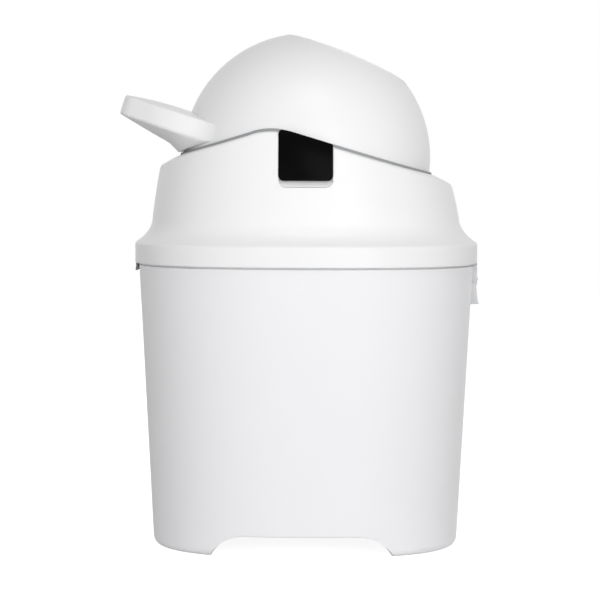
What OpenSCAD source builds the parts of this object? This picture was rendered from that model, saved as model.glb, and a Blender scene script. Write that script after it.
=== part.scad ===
// Nappy bin with a flip-over drum.
// The nappy drops into the well of the drum, the handle is thrown over, and the weighted
// piston in the well slides down and pushes the nappy out into the bin below.
// Origin: floor level, on the upright centre line of the bin. +X is the hinge side, the
// handle rests over -X, and the black plate faces -Y. Sizes are in millimetres.

/* [Bin] */
// How much narrower the foot of the bin is than its top, on each side
bin_taper = 14.3; // [6:0.1:24]
// Height of the bin wall up to the step that the lid band sits over
bin_step_h = 263; // [200:1:300]
// Height of the rim above that step
rim_h = 11; // [9:0.5:14]
// How far the rim steps in so that bag and lid band fit over it
rim_step = 1.5; // [0.8:0.1:2.5]
// Wall thickness of the bin
bin_wall = 3; // [2:0.1:4]
// Radius of the rounding around the foot
foot_round = 8; // [3:0.5:12]
// Squareness of the plan shape, where 2 is round
plan_power = 2.5; // [2:0.05:3.2]
// Height of the arch between the feet, front and back
arch_h = 19.4; // [8:0.1:24]
// Width of the arch where its top is level
arch_top_w = 94; // [60:1:140]
// Length of each curved end of the arch
arch_flank = 36; // [12:1:50]
// Shift of the arch from the centre line
arch_shift = -3.5; // [-10:0.5:10]
// Clear height between the arch and the underside of the floor
floor_gap = 3.6; // [2:0.1:8]

/* [Lid] */
// Room beside the drum, out to the foot of the lid wall
lid_room = 20.2; // [16:0.1:30]
// How far the flare runs out from the lid wall to the band
flare_reach = 15.8; // [10:0.1:24]
// Wall thickness of the band
band_wall = 3.5; // [3.3:0.1:5]
// Clearance between the band and the bin
band_gap = 0.4; // [0.3:0.05:1]
// Height of the straight part of the band
band_h = 16.4; // [12:0.1:20]
// Rise from the band's top edge to the foot of the wall
flare_h = 21.6; // [14:0.1:30]
// Thickness of the lid wall
lid_wall = 3; // [2:0.1:4]
// Slope of the roof on the handle side, in degrees
roof_slope_left = 17.5; // [10:0.1:25]
// Slope of the roof on the hinge side, in degrees
roof_slope_right = 16.8; // [10:0.1:25]
// Height of the ridge above the axle, where both slopes would meet
ridge_rise = 30.3; // [28:0.1:40]
// Distance of the ridge from the centre line, towards the handle
ridge_x = -32; // [-50:0.5:0]
// Radius of the rounding along the ridge
ridge_round = 60; // [20:1:90]
// Gap between the lid and the drum
drum_gap = 2.6; // [1.5:0.1:4]

/* [Drum] */
// Radius of the drum, square to its axle
drum_r = 117; // [110:0.1:119]
// How much further the drum reaches along its axle
drum_stretch = 8.5; // [2:0.1:12]
// Roundness of the drum's side, where 2 is an ellipse
drum_power = 2.3; // [2:0.05:2.6]
// Wall thickness of the drum
drum_wall = 3; // [2:0.1:4]
// Height of the axle above the step of the bin
axle_rise = 101; // [95:0.5:115]
// Lean of the well at rest, in degrees
well_lean = 22; // [15:0.5:30]
// Inner radius of the well tube
well_r = 54; // [48:0.1:56]
// Wall thickness of the well tube
well_wall = 2.5; // [1.5:0.1:3.5]
// Width of the rim around each mouth, outside the tube
mouth_rim = 5.5; // [4:0.1:7]
// How far the lip of each mouth reaches over the end of the well
mouth_lip = 3; // [1.5:0.1:6]
// How far the ends of the well tube lie inside the drum
well_inset = 21; // [19:0.5:30]

/* [Handle] */
// How far the handle reaches out of the drum
handle_out = 64; // [50:1:75]
// Rise of the handle above level, in degrees
handle_rise = 18; // [16:0.5:20]
// Thickness of the handle at its edge
handle_edge = 17.5; // [12:0.5:20]
// Half width of the handle where it leaves the drum
handle_root_half_w = 80; // [70:1:90]
// Half width of the handle at its tip
handle_tip_half_w = 50; // [40:1:60]
// Corner radius of the tip
handle_corner = 24; // [15:1:30]
// Height of the crown along the middle of the handle
handle_crown = 4; // [2:0.5:6]
// How far the crown falls towards the tip, in degrees
crown_fall = 2; // [0:0.5:3]
// How far the handle's middle plane passes below the axle
handle_drop = 6.2; // [4:0.1:9]
// Depth of the fairing under the handle, where it meets the drum
keel_depth = 15; // [8:0.5:16]
// Wall thickness of the handle halves
handle_wall = 2.5; // [1.5:0.1:3]

/* [Piston] */
// Gap between the piston and the well tube
piston_gap = 0.6; // [0.4:0.1:1]
// Length of the piston over both end faces
piston_l = 70; // [50:1:90]
// Wall thickness of the piston
piston_wall = 2.5; // [1.5:0.1:4]
// Thickness of the steel weight in the piston
weight_h = 8; // [4:1:16]

/* [Axle and hinge] */
// Radius of each axle pin
axle_pin_r = 7; // [5:0.1:8]
// Running clearance around pins
pin_gap = 0.25; // [0.2:0.05:0.4]
// Radius of the hinge pin of the lid
hinge_pin_r = 1.6; // [1.2:0.1:1.8]
// Outer radius of the hinge knuckles
knuckle_r = 3.2; // [3:0.1:3.8]
// Depth of the seat for the upper leaf in the band
leaf_seat = 1.6; // [1:0.1:2]
// Depth of the hinge axis below the step of the bin
hinge_drop = 12.3; // [10:0.1:16]
// Length of the hinge along its pin
hinge_l = 64; // [40:1:80]
// Height of the lower hinge leaf below the axis
leaf_h = 24; // [18:0.5:32]

/* [Latch] */
// Width of the latch lever
latch_w = 26; // [16:1:36]
// Thickness of the latch lever
latch_t = 2.2; // [1.6:0.1:2.4]
// How far the latch lever hangs below the band
latch_hang = 8; // [5:0.5:12]

/* [Plate] */
// Width of the black plate over the axle
plate_w = 49.6; // [40:0.2:56]
// Thickness of the plate
plate_t = 1.6; // [1:0.1:1.8]
// Depth of the plate's lower edge below the axle
plate_drop = 21; // [17:0.5:25]
// Height of the finger ledge under the plate
plate_ledge = 6.5; // [3:0.5:9]
// Corner radius of the plate
plate_corner = 5; // [2:0.5:8]
// Depth of the finger ledge behind the plate's lower edge
ledge_depth = 5.5; // [3:0.1:6]

/* [Seals and screws] */
// Clearance between the wiping strip and the drum
seal_gap = 0.6; // [0.3:0.1:1]
// How far the wiping strip stands above the roof
seal_stand = 1.8; // [0.5:0.1:2]
// How far the wiping strip reaches down behind the lip of the roof
seal_depth = 6; // [3:0.5:10]
// Thickness of the liner deck
liner_t = 3; // [2:0.1:4]
// Depth of the collar under the deck, around the drum
collar_h = 12; // [6:0.5:16]
// Thickness of that collar
collar_t = 4; // [2.5:0.1:5]
// Shank radius of the screws
screw_r = 1.6; // [1.2:0.1:2]

/* [Hidden] */

white = "#f4f4f6";
shade_white = "#e6e6ea";
foam_grey = "#8d9196";
steel = "#b9bdc2";
black = "#101010";
brass = "#c9c2a8";

eps = 0.01;
snug = 0.05;           // clearance around screws, dowels and bushes in their bores
far = 400;
plan_points = 60;      // points around each ring of the plan shape
profile_steps = 24;    // steps along the drum profile
turn_fn = 96;
small_fn = 32;

// Widths, from the drum out to the lid and the bin
drum_half_w = drum_r + drum_stretch;
lid_foot_half_w = drum_half_w + lid_room;
band_half_w = lid_foot_half_w + flare_reach;
bin_top_half_w = band_half_w - band_wall - band_gap;
foot_half_w = bin_top_half_w - bin_taper;

// Heights, from the floor up
bin_h = bin_step_h + rim_h;
band_bottom = bin_step_h + 2;
band_top = band_bottom + band_h;
wall_foot = band_top + flare_h;
liner_z = wall_foot - 4;
axle_z = bin_step_h + axle_rise;
ridge_z = axle_z + ridge_rise;
hinge_z = bin_step_h - hinge_drop;
plate_bottom = axle_z - plate_drop;

// Bin
floor_z = arch_h + floor_gap;
floor_t = bin_wall;
arch_power = 2.5;
bin_draft = bin_taper / bin_step_h;
skirt_t = bin_wall;

// Lid
gasket_gap = 0.3;
gasket_t = 4;
ledge_z = bin_h + gasket_gap + gasket_t;
lid_top_z = ridge_z + 6;
shoulder_drop = 5;                 // how far the roof's outer corners turn down
shoulder_run = 18;

// Drum, well and piston, along the well axis
well_out_r = well_r + well_wall;
well_half_l = drum_r - well_inset;
lip_z = well_half_l;
mouth_r = well_out_r + mouth_rim;
mouth_free_r = well_r - mouth_lip;
mouth_edge_r = mouth_r - 4;        // where the lip rolls into the mouth
ring_skirt = 10;
mouth_stand = 0.2;                 // how far a ring stands out of the drum
boss_x = (well_out_r + drum_r) / 2;
boss_z = 34;
dowel_r = 2;
dowel_l = 24;
piston_r = well_r - piston_gap;
piston_rest = -(well_half_l - 0.4);
ring_h = 5;
ring_depth = 2;
ring_inset = 8;
cup_in_r = piston_r - ring_depth - piston_wall;
cap_t = piston_wall + 0.5;
cap_skirt = 6;

// Axle
axle_head_r = 10;
axle_head_t = 1.6;
bush_wall = 2.2;
bush_in_r = axle_pin_r + pin_gap;
bush_out_r = bush_in_r + bush_wall;
bush_l = 12;
hub_r = bush_out_r + 3.5;
boss_gap = 0.6;

// Hinge
hinge_x = band_half_w - knuckle_r - 0.1;    // the knuckles lie flush with the band
leaf_flare = 0.9;                           // how far the lower leaf's foot stands out

// Latch
latch_x = -(band_half_w - latch_t / 2 - 0.7);
latch_axis_z = band_bottom + 9.5;
latch_pin_r = 0.8;
latch_spring_l = 4;

// Handle, seen from its own frame: local x points out along the handle, local z up
handle_reach = drum_r + handle_out;
slab_low = -handle_drop - handle_edge / 2;
slab_high = -handle_drop + handle_edge / 2;
crown_r = (pow(60, 2) + pow(handle_crown, 2)) / (2 * handle_crown);

handle_out_x = handle_reach * cos(handle_rise) - slab_low * sin(handle_rise);
centre_shift = (handle_out_x - hinge_x - knuckle_r - leaf_flare) / 2;

function spow(v, e) = sign(v) * pow(abs(v), e);

// Half width of the bin's outer wall at height z
function bin_half_w(z) = foot_half_w + bin_draft * z;

// Half width inside the bin's wall, between the foot of the wall and the rim's step
inner_low_z = floor_z + 12;
inner_high_z = bin_step_h - 6;
inner_high_w = bin_top_half_w - rim_step - bin_wall;
function bin_inner_w(z) =
    let (low_w = bin_half_w(inner_low_z) - bin_wall)
    low_w + (inner_high_w - low_w) * (z - inner_low_z) / (inner_high_z - inner_low_z);

// Outer half width of the lid's wall at height z, drafted and slightly bellied
function lid_half_w(z) =
    let (h = z - wall_foot)
    lid_foot_half_w - 0.105 * h - 0.00085 * h * h;

// Reach of the plan shape at angle a, for a half width of 1
function plan_reach(a) =
    1 / pow(pow(abs(cos(a)), plan_power) + pow(abs(sin(a)), plan_power), 1 / plan_power);

// One ring of the plan shape: half width r at height z
function ring(r, z) =
    [for (i = [0:plan_points - 1])
        let (a = 360 * i / plan_points)
        [r * plan_reach(a) * cos(a), r * plan_reach(a) * sin(a), z]];

// Skin over a list of [half width, height] pairs, closed flat at both ends
module plan_loft(pairs) {
    n = plan_points;
    count = len(pairs);
    points = [for (p = pairs) each ring(p[0], p[1])];
    sides = [for (k = [0:count - 2], i = [0:n - 1])
        [k * n + i, (k + 1) * n + i, (k + 1) * n + (i + 1) % n, k * n + (i + 1) % n]];
    first = [for (i = [0:n - 1]) i];
    last = [for (i = [0:n - 1]) (count - 1) * n + n - 1 - i];
    polyhedron(points, concat([first], sides, [last]), convexity = 8);
}

// Solid of the drum: a barrel turned about the axle, grown by g
function drum_outline(g) =
    [for (i = [0:profile_steps])
        let (t = -90 + 180 * i / profile_steps)
        [(drum_r + g) * spow(cos(t), 2 / drum_power),
         (drum_half_w + g) * spow(sin(t), 2 / drum_power)]];

module drum_form(g = 0)
    translate([0, 0, axle_z])
        rotate([90, 0, 0])
            rotate_extrude($fn = turn_fn)
                polygon(drum_outline(g));

// Moves the bin so that the origin is in the middle of the space it takes up
module placed()
    translate([centre_shift, 0, 0])
        children();

// Frame of the well: local z runs up the well from the axle
module in_well()
    translate([0, 0, axle_z])
        rotate([0, well_lean, 0])
            children();

// The same frame, turned about the well so that the start of each round wall lies clear of
// the drum's parting plane
module around_well()
    in_well()
        rotate([0, 0, 35])
            children();

// Frame of the handle: local x runs out along the handle
module in_handle()
    translate([0, 0, axle_z])
        rotate([0, handle_rise, 0])
            mirror([1, 0, 0])
                children();

// Frame on the drum's axle, local z towards +Y (side 1) or -Y (side -1)
module on_axle(side)
    translate([0, 0, axle_z])
        rotate([-90 * side, 0, 0])
            children();

module tube(r_out, r_in, h, fn = turn_fn)
    difference() {
        cylinder(r = r_out, h = h, $fn = fn);
        translate([0, 0, -1])
            cylinder(r = r_in, h = h + 2, $fn = fn);
    }

// Countersunk screw with its head at z = 0 and its shank running down
module screw(l, r = screw_r) {
    cylinder(r1 = r, r2 = 2 * r, h = r, $fn = small_fn);
    translate([0, 0, -l])
        cylinder(r = r, h = l, $fn = small_fn);
}

// ---------- Bin ----------

module bin_vessel() {
    rim_w = bin_half_w(bin_step_h) - rim_step;
    steps = 3;
    plan_loft(concat(
        [[bin_half_w(floor_z) - skirt_t, floor_z],
         [bin_half_w(0) - foot_round - 1, 0]],
        [for (i = [0:steps])
            let (a = 90 * i / steps)
            [bin_half_w(foot_round) - foot_round * (1 - sin(a)) * 0.8,
             foot_round * (1 - cos(a))]],
        [[bin_half_w(bin_step_h), bin_step_h],
         [rim_w, bin_step_h + 0.8],
         [rim_w, bin_h - 0.8],
         [rim_w - 0.8, bin_h],
         [rim_w - bin_wall, bin_h],
         [inner_high_w, inner_high_z],
         [bin_inner_w(inner_low_z), inner_low_z],
         [bin_half_w(floor_z) - bin_wall - 7, floor_z + floor_t]]));
}

// Outline of the arch under the bin: level in the middle, bending down more and more
// steeply towards the feet
module arch_outline() {
    half = arch_top_w / 2;
    steps = 10;
    s_curve = [for (i = [0:steps])
        let (t = i / steps)
        [half + arch_flank * t, arch_h * (1 - pow(t, arch_power))]];
    mirrored = [for (i = [steps:-1:0]) [-s_curve[i][0], s_curve[i][1]]];
    polygon(concat(mirrored, s_curve, [[half + arch_flank, -5], [-half - arch_flank, -5]]));
}

module bin_body()
    color(white) placed()
        difference() {
            union() {
                bin_vessel();
                hinge_swell();
            }
            hinge_trough();
            translate([arch_shift, far / 2, 0])
                rotate([90, 0, 0])
                    linear_extrude(far)
                        arch_outline();
            latch_recess();
            leaf_screws(snug);
        }

// Shallow pocket in the bin wall whose roof is the catch of the latch
module latch_recess()
    translate([-bin_half_w(band_bottom) - 2, -latch_w / 2 - 0.6, band_bottom - latch_hang - 1])
        cube([3.2, latch_w + 1.2, latch_hang - 2]);

// ---------- Hinge ----------

trough_gap = 0.3;
trough_wall = 2;
swell_r = knuckle_r + trough_gap + trough_wall;
seat_x = band_half_w - leaf_seat;
knuckle_share = hinge_l / 4;
leaf_top = band_top - 1.5;
leaf_bottom = hinge_z - leaf_h;
leaf_shoulder = knuckle_r + 1.8;   // from the axis down to the shoulder of the lower leaf
hinge_screw_y = hinge_l / 2 - 8;
leaf_screw_z = leaf_bottom + 9;
leaf_screw_l = bin_wall + 2.5;

// Trough in the bin wall that the knuckles lie in, and the swelling behind it
module hinge_trough()
    translate([hinge_x, 0, hinge_z])
        rotate([90, 0, 0])
            cylinder(r = knuckle_r + trough_gap, h = hinge_l + 1, center = true, $fn = small_fn);

module hinge_swell()
    intersection() {
        translate([hinge_x, 0, hinge_z])
            rotate([90, 0, 0])
                cylinder(r = swell_r, h = hinge_l + 1 + 2 * trough_wall, center = true,
                         $fn = small_fn);
        translate([bin_half_w(hinge_z) - trough_wall - 2 * swell_r, -hinge_l,
                   hinge_z - 2 * swell_r])
            cube([2 * swell_r, 2 * hinge_l, 4 * swell_r]);
    }

// Countersunk screws from inside the bin into the lower leaf; grow makes their seats
module leaf_screws(grow)
    for (y = [-hinge_screw_y, hinge_screw_y])
        translate([bin_inner_w(leaf_screw_z) + screw_r, y, leaf_screw_z])
            rotate([0, -90, 0])
                screw(leaf_screw_l, screw_r + grow);

// Leaf on the bin: two outer knuckles over a pad that flares out towards its foot
module hinge_leaf_lower()
    color(white) placed()
        difference() {
            union() {
                translate([0, hinge_l / 2, 0])
                    rotate([90, 0, 0])
                        linear_extrude(hinge_l)
                            polygon([[bin_half_w(leaf_bottom) + 0.05, leaf_bottom],
                                     [hinge_x + knuckle_r + leaf_flare, leaf_bottom],
                                     [hinge_x + knuckle_r, leaf_bottom + 0.3 * leaf_h],
                                     [hinge_x + knuckle_r / 2, hinge_z - leaf_shoulder],
                                     [bin_half_w(hinge_z - leaf_shoulder) + 0.05,
                                      hinge_z - leaf_shoulder]]);
                for (side = [-1, 1])
                    knuckle_block(side);
            }
            leaf_screws(snug);
        }

module knuckle_block(side)
    difference() {
        union() {
            translate([hinge_x, side * (hinge_l + knuckle_share * 2) / 4, hinge_z])
                rotate([90, 0, 0])
                    cylinder(r = knuckle_r, h = knuckle_share, center = true, $fn = small_fn);
            translate([hinge_x - 0.7, side * (hinge_l + knuckle_share * 2) / 4 - knuckle_share / 2,
                       hinge_z - leaf_shoulder - 0.5])
                cube([knuckle_r - 0.9, knuckle_share, leaf_shoulder - 1]);
        }
        translate([hinge_x, 0, hinge_z])
            rotate([90, 0, 0])
                cylinder(r = hinge_pin_r + pin_gap / 2, h = 2 * hinge_l, center = true,
                         $fn = small_fn);
    }

// Leaf on the lid: it lies in a seat in the band and carries the middle knuckle
module hinge_leaf_upper()
    color(white) placed()
        difference() {
            union() {
                translate([0, knuckle_share - 0.3, 0])
                    rotate([90, 0, 0])
                        linear_extrude(2 * knuckle_share - 0.6)
                            polygon([[seat_x + 0.02, leaf_top],
                                     [band_half_w, leaf_top],
                                     [band_half_w, hinge_z + 3],
                                     [hinge_x + knuckle_r - 0.1, hinge_z],
                                     [hinge_x, hinge_z],
                                     [hinge_x + 0.3, hinge_z + knuckle_r + 1],
                                     [seat_x + 0.02, band_bottom - 1]]);
                translate([hinge_x, 0, hinge_z])
                    rotate([90, 0, 0])
                        cylinder(r = knuckle_r, h = 2 * knuckle_share - 0.6, center = true,
                                 $fn = small_fn);
            }
            translate([hinge_x, 0, hinge_z])
                rotate([90, 0, 0])
                    cylinder(r = hinge_pin_r + pin_gap / 2, h = 2 * hinge_l, center = true,
                             $fn = small_fn);
            band_screws(snug);
        }

module hinge_pin()
    color(steel) placed()
        translate([hinge_x, 0, hinge_z])
            rotate([90, 0, 0])
                cylinder(r = hinge_pin_r, h = hinge_l + 1, center = true, $fn = small_fn);

module hinge_screws_lower()
    color(steel) placed()
        leaf_screws(0);

// Screws from inside the band into the leaf; grow makes the seats cut for them
module band_screws(grow)
    for (y = [-8, 8])
        translate([band_half_w - band_wall + screw_r, y, band_bottom + 8])
            rotate([0, -90, 0])
                screw(band_wall - screw_r - 0.3, screw_r + grow);

// Seat in the band for the upper leaf
module leaf_seat_cut()
    translate([seat_x, -knuckle_share, band_bottom - 1])
        cube([2 * leaf_seat, 2 * knuckle_share, leaf_top + 0.3 - band_bottom + 1]);

module hinge_screws_upper()
    color(steel) placed()
        band_screws(0);

// ---------- Lid ----------

function flare(i, steps) =
    let (t = i / steps)
    [band_half_w - 1.5 - (band_half_w - 1.5 - lid_foot_half_w) * pow(sin(90 * t), 1.0),
     band_top + 2 + (flare_h - 2) * (1 - pow(cos(90 * t), 0.9)) ];

module lid_outer() {
    steps = 4;
    wall_rings = 4;
    plan_loft(concat(
        [[band_half_w, band_bottom],
         [band_half_w, band_top]],
        [for (i = [0:steps]) flare(i, steps)],
        [for (i = [1:wall_rings])
            let (z = wall_foot + (lid_top_z - wall_foot) * i / wall_rings)
            [lid_half_w(z), z]]));
}

module lid_inner() {
    wall_rings = 3;
    plan_loft(concat(
        [[band_half_w - band_wall, band_bottom - 1],
         [band_half_w - band_wall, ledge_z],
         [lid_foot_half_w + 3, ledge_z + 1]],
        [for (i = [0:wall_rings])
            let (z = wall_foot - 6 + (lid_top_z - wall_foot + 6) * i / wall_rings)
            [lid_half_w(z) - lid_wall, z]]));
}

// Side view of everything under the roof, with its top lowered by d
module roof_outline(d) {
    left_end = -lid_half_w(axle_z - 6) + shoulder_run;
    right_end = lid_half_w(axle_z - 21) - shoulder_run;
    left_z = ridge_z - (ridge_x - left_end) * tan(roof_slope_left);
    right_z = ridge_z - (right_end - ridge_x) * tan(roof_slope_right);
    corner = shoulder_run * tan(roof_slope_left) + shoulder_drop;
    steps = 8;
    // the ridge is an arc that meets both slopes
    arc_x = ridge_x - ridge_round * (sin(roof_slope_left) - sin(roof_slope_right)) / 2;
    arc_z = ridge_z - ridge_round / cos((roof_slope_left + roof_slope_right) / 2);
    ridge = [for (i = [0:steps])
        let (a = 90 + roof_slope_left - (roof_slope_left + roof_slope_right) * i / steps)
        [arc_x + ridge_round * cos(a), arc_z + ridge_round * sin(a) - d]];
    polygon(concat(
        [[-far, 0], [-far, left_z - corner - (far + left_end) * 0.5 - d],
         [left_end - shoulder_run, left_z - corner + 0.6 - d],
         [left_end, left_z - d]],
        ridge,
        [[right_end, right_z - d],
         [right_end + shoulder_run, right_z - corner + 0.9 - d],
         [far, right_z - corner - (far - right_end) * 0.5 - d], [far, 0]]));
}

module roof_prism(d)
    translate([0, far / 2, 0])
        rotate([90, 0, 0])
            linear_extrude(far)
                roof_outline(d);

// Frame on the front wall, level with height z, local y pointing into the lid
module on_front_wall(z)
    translate([0, -lid_half_w(z), z])
        rotate([-wall_lean, 0, 0])
            children();

wall_lean = atan(0.105 + 0.0017 * (axle_z - wall_foot));
recess_depth = 2;
ledge_z0 = plate_bottom - plate_ledge;

module plate_outline(grow, low)
    translate([-1, 0])
        union() {
            translate([-plate_w / 2 - grow, low + plate_corner])
                square([plate_w + 2 * grow, far / 4]);
            translate([-plate_w / 2 - grow + plate_corner, low])
                square([plate_w + 2 * grow - 2 * plate_corner, plate_corner + 1]);
            for (side = [-1, 1])
                translate([side * (plate_w / 2 + grow - plate_corner), low + plate_corner])
                    circle(r = plate_corner, $fn = small_fn);
        }

module plate_block(grow, low, thick, depth)
    on_front_wall(axle_z)
        translate([0, depth, -axle_z])
            rotate([90, 0, 0])
                linear_extrude(thick)
                    plate_outline(grow, low);

// The bosses stand on the diagonals, against the inside of the wall
liner_boss_r = 5.5;
liner_boss_l = 34;
liner_boss_x = (lid_half_w(liner_z + liner_t) - lid_wall) * plan_reach(45) - liner_boss_r - 0.4;

module liner_boss_spots()
    for (a = [45, 135, 225, 315])
        rotate([0, 0, a])
            translate([liner_boss_x, 0, 0])
                children();

module lid_shell()
    color(white) placed()
        difference() {
            intersection() {
                lid_outer();
                roof_prism(0);
                union() {
                    difference() {
                        translate([-far / 2, -far / 2, 0])
                            cube([far, far, 2 * far]);
                        intersection() {
                            lid_inner();
                            roof_prism(lid_wall);
                        }
                    }
                    for (side = [-1, 1])
                        axle_boss(side);
                    intersection() {
                        plate_block(3, ledge_z0 - 3, 12, ledge_depth + lid_wall);
                        translate([-far / 2, -far, 0])
                            cube([far, far, plate_bottom + 5]);
                    }
                    translate([0, 0, liner_z + liner_t])
                        liner_boss_spots()
                            cylinder(r = liner_boss_r, h = liner_boss_l, $fn = small_fn);
                }
            }
            drum_form(drum_gap);
            plate_block(0.5, ledge_z0, 8, recess_depth);
            finger_ledge();
            axle_pin_holes();
            liner_screw_set(snug);
            latch_slot();
            latch_pin_rod(0.03);
            leaf_seat_cut();
            band_screws(snug);
        }

// Bores for the axle pins, each with a seat for the pin's head
module axle_pin_holes() {
    for (side = [-1, 1])
        on_axle(side) {
            cylinder(r = axle_pin_r + 0.1, h = far / 2, $fn = small_fn);
            translate([0, 0, axle_head_y(side)])
                cylinder(r = axle_head_r + 0.2, h = 20, $fn = 48);
        }
}

// Distance from the middle to the inner face of a pin's head; the front one lies deeper,
// behind the plate
function axle_head_y(side) =
    lid_half_w(axle_z + axle_head_r) - axle_head_t - 0.3 - (side < 0 ? recess_depth : 0);

// Boss inside the lid wall that carries an axle pin
module axle_boss(side)
    on_axle(side)
        translate([0, 0, drum_half_w + boss_gap])
            cylinder(r = hub_r, h = 20, $fn = 48);

// Flat slab with the plan shape, of half width w, from height z
module plan_slab(w, z, h)
    translate([0, 0, z])
        linear_extrude(h)
            polygon([for (p = ring(w, 0)) [p[0], p[1]]]);

module lid_gasket()
    color(foam_grey) placed()
        difference() {
            plan_slab(band_half_w - band_wall - 0.3, ledge_z - gasket_t, gasket_t);
            plan_slab(bin_half_w(bin_step_h) - rim_step - bin_wall - 1, ledge_z - gasket_t - 1,
                      gasket_t + 2);
        }

// Hollow behind the plate's lower edge, which deepens towards the plate
module finger_ledge()
    intersection() {
        plate_block(0.5, ledge_z0, 12, ledge_depth);
        on_front_wall(axle_z)
            translate([-plate_w, 0, -axle_z])
                rotate([90, 0, 90])
                    linear_extrude(2 * plate_w)
                        polygon([[recess_depth - 0.8, ledge_z0 - 1],
                                 [recess_depth - 0.8, ledge_z0],
                                 [ledge_depth, plate_bottom + 1.5],
                                 [-8, plate_bottom + 1.5], [-8, ledge_z0 - 1]]);
    }

module liner_deck()
    color(shade_white) placed()
        difference() {
            union() {
                plan_slab(lid_half_w(liner_z + liner_t) - lid_wall - 0.4, liner_z, liner_t);
                intersection() {
                    drum_form(drum_gap + collar_t);
                    translate([0, 0, liner_z - collar_h])
                        cylinder(r = far / 2, h = collar_h + eps, $fn = 48);
                }
            }
            drum_form(drum_gap);
            liner_screw_set(snug);
        }

liner_screw_l = 14;

// Countersunk screws from under the deck; grow makes the seats cut for them
module liner_screw_set(grow)
    liner_boss_spots()
        translate([0, 0, liner_z + screw_r])
            mirror([0, 0, 1])
                screw(liner_screw_l, screw_r + grow);

module liner_screws()
    color(steel) placed()
        liner_screw_set(0);

// Grey strip inside the lip of the roof that wipes the drum all round
module drum_seal()
    color(foam_grey) placed()
        difference() {
            intersection() {
                drum_form(drum_gap - 0.3);
                roof_prism(-seal_stand);
            }
            drum_form(seal_gap);
            roof_prism(seal_depth);
        }

module axle_plate()
    color(black) placed()
        intersection() {
            plate_block(0, plate_bottom, plate_t, recess_depth);
            roof_prism(0.6);
        }

module axle_pin(side)
    color(steel) placed()
        on_axle(side) {
            translate([0, 0, drum_half_w - bush_l])
                cylinder(r = axle_pin_r, h = axle_head_y(side) - drum_half_w + bush_l + eps,
                         $fn = small_fn);
            translate([0, 0, axle_head_y(side)])
                cylinder(r = axle_head_r, h = axle_head_t, $fn = 48);
        }

module axle_pin_front()
    axle_pin(-1);

module axle_pin_rear()
    axle_pin(1);

// ---------- Latch ----------

// Window in the band for the lever, with room for its spring at one end
module latch_slot()
    translate([-band_half_w - 1, -latch_w / 2 - 0.4, band_bottom - 1])
        cube([band_wall + 2, latch_w + 0.8 + latch_spring_l, 13.5]);

module latch_pin_rod(grow)
    translate([latch_x, latch_w / 2 + latch_spring_l + 3, latch_axis_z])
        rotate([90, 0, 0])
            cylinder(r = latch_pin_r + grow, h = latch_w + latch_spring_l + 6, $fn = 24);

module latch_lever()
    color(foam_grey) placed()
        translate([latch_x, 0, 0])
            difference() {
                union() {
                    translate([0, latch_w / 2, 0])
                        rotate([90, 0, 0])
                            linear_extrude(latch_w)
                                polygon([[-latch_t / 2, latch_axis_z + 2],
                                         [latch_t / 2, latch_axis_z + 2],
                                         [latch_t / 2, band_bottom - 4.6],
                                         [latch_t / 2 + 1.5, band_bottom - 4.6],
                                         [latch_t / 2 + 1.1, band_bottom - 7],
                                         [0, band_bottom - latch_hang],
                                         [-latch_t / 2 - 0.6, band_bottom - latch_hang],
                                         [-latch_t / 2, band_bottom - 4]]);
                }
                translate([0, latch_w, latch_axis_z])
                    rotate([90, 0, 0])
                        cylinder(r = latch_pin_r + 0.08, h = 2 * latch_w, $fn = 24);
            }

module latch_pin()
    color(steel) placed()
        latch_pin_rod(0);

module latch_spring()
    color(steel) placed()
        translate([latch_x, latch_w / 2 + latch_spring_l, latch_axis_z])
            rotate([90, 0, 0])
                tube(latch_pin_r + 0.7, latch_pin_r + 0.05, latch_spring_l - 0.4, 24);

// ---------- Drum ----------

module drum_boss_spots()
    in_well()
        for (x = [-boss_x, boss_x], z = [-boss_z, boss_z])
            translate([x, 0, z])
                children();

// Half of the drum's outline, from its middle to its pole, d below the surface
function half_outline(d) =
    [for (i = [0:profile_steps / 2])
        let (t = 180 * i / profile_steps)
        [(drum_r - d) * spow(cos(t), 2 / drum_power),
         (drum_half_w - d) * spow(sin(t), 2 / drum_power)]];

function reversed(list) = [for (i = [len(list) - 1:-1:0]) list[i]];

// Half of the drum on one side of the parting plane, which holds the well
module drum_half(side)
    difference() {
        union() {
            on_axle(side)
                rotate_extrude($fn = turn_fn)
                    polygon(concat(half_outline(0), reversed(half_outline(drum_wall))));
            intersection() {
                on_axle(side)
                    rotate_extrude($fn = turn_fn)
                        polygon(concat([[0, 0]], half_outline(drum_wall / 2)));
                union() {
                    drum_boss_spots()
                        rotate([-90 * side, 0, 0])
                            cylinder(r = 6, h = far / 2, $fn = small_fn);
                    on_axle(side)
                        translate([0, 0, drum_half_w - bush_l - 3])
                            cylinder(r = hub_r, h = 40, $fn = 48);
                    handle_screw_spots(side)
                        translate([0, 0, -far / 10])
                            cylinder(r = screw_pad_r, h = far / 10 + screw_r, $fn = small_fn);
                }
            }
        }
        around_well()
            cylinder(r = mouth_r + 0.05, h = far, center = true, $fn = turn_fn);
        drum_boss_spots()
            rotate([90, 0, 0])
                cylinder(r = dowel_r + snug, h = dowel_l + 1, center = true, $fn = small_fn);
        on_axle(side)
            cylinder(r = bush_out_r + snug, h = far, $fn = small_fn);
        handle_screw_spots(side)
            screw(far / 10, screw_r + snug);
    }

module drum_shell_front()
    color(white) placed()
        drum_half(-1);

module drum_shell_rear()
    color(white) placed()
        drum_half(1);

// Dowels across the parting plane, pressed into the bosses of both drum halves
module drum_dowels()
    color(steel) placed()
        drum_boss_spots()
            rotate([90, 0, 0])
                cylinder(r = dowel_r, h = dowel_l, center = true, $fn = small_fn);

// Tube of the well, held between the halves and capped by a ring at each mouth
module well_tube()
    color(shade_white) placed()
        in_well()
            translate([0, 0, -well_half_l])
                tube(well_out_r, well_r, 2 * well_half_l);

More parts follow.
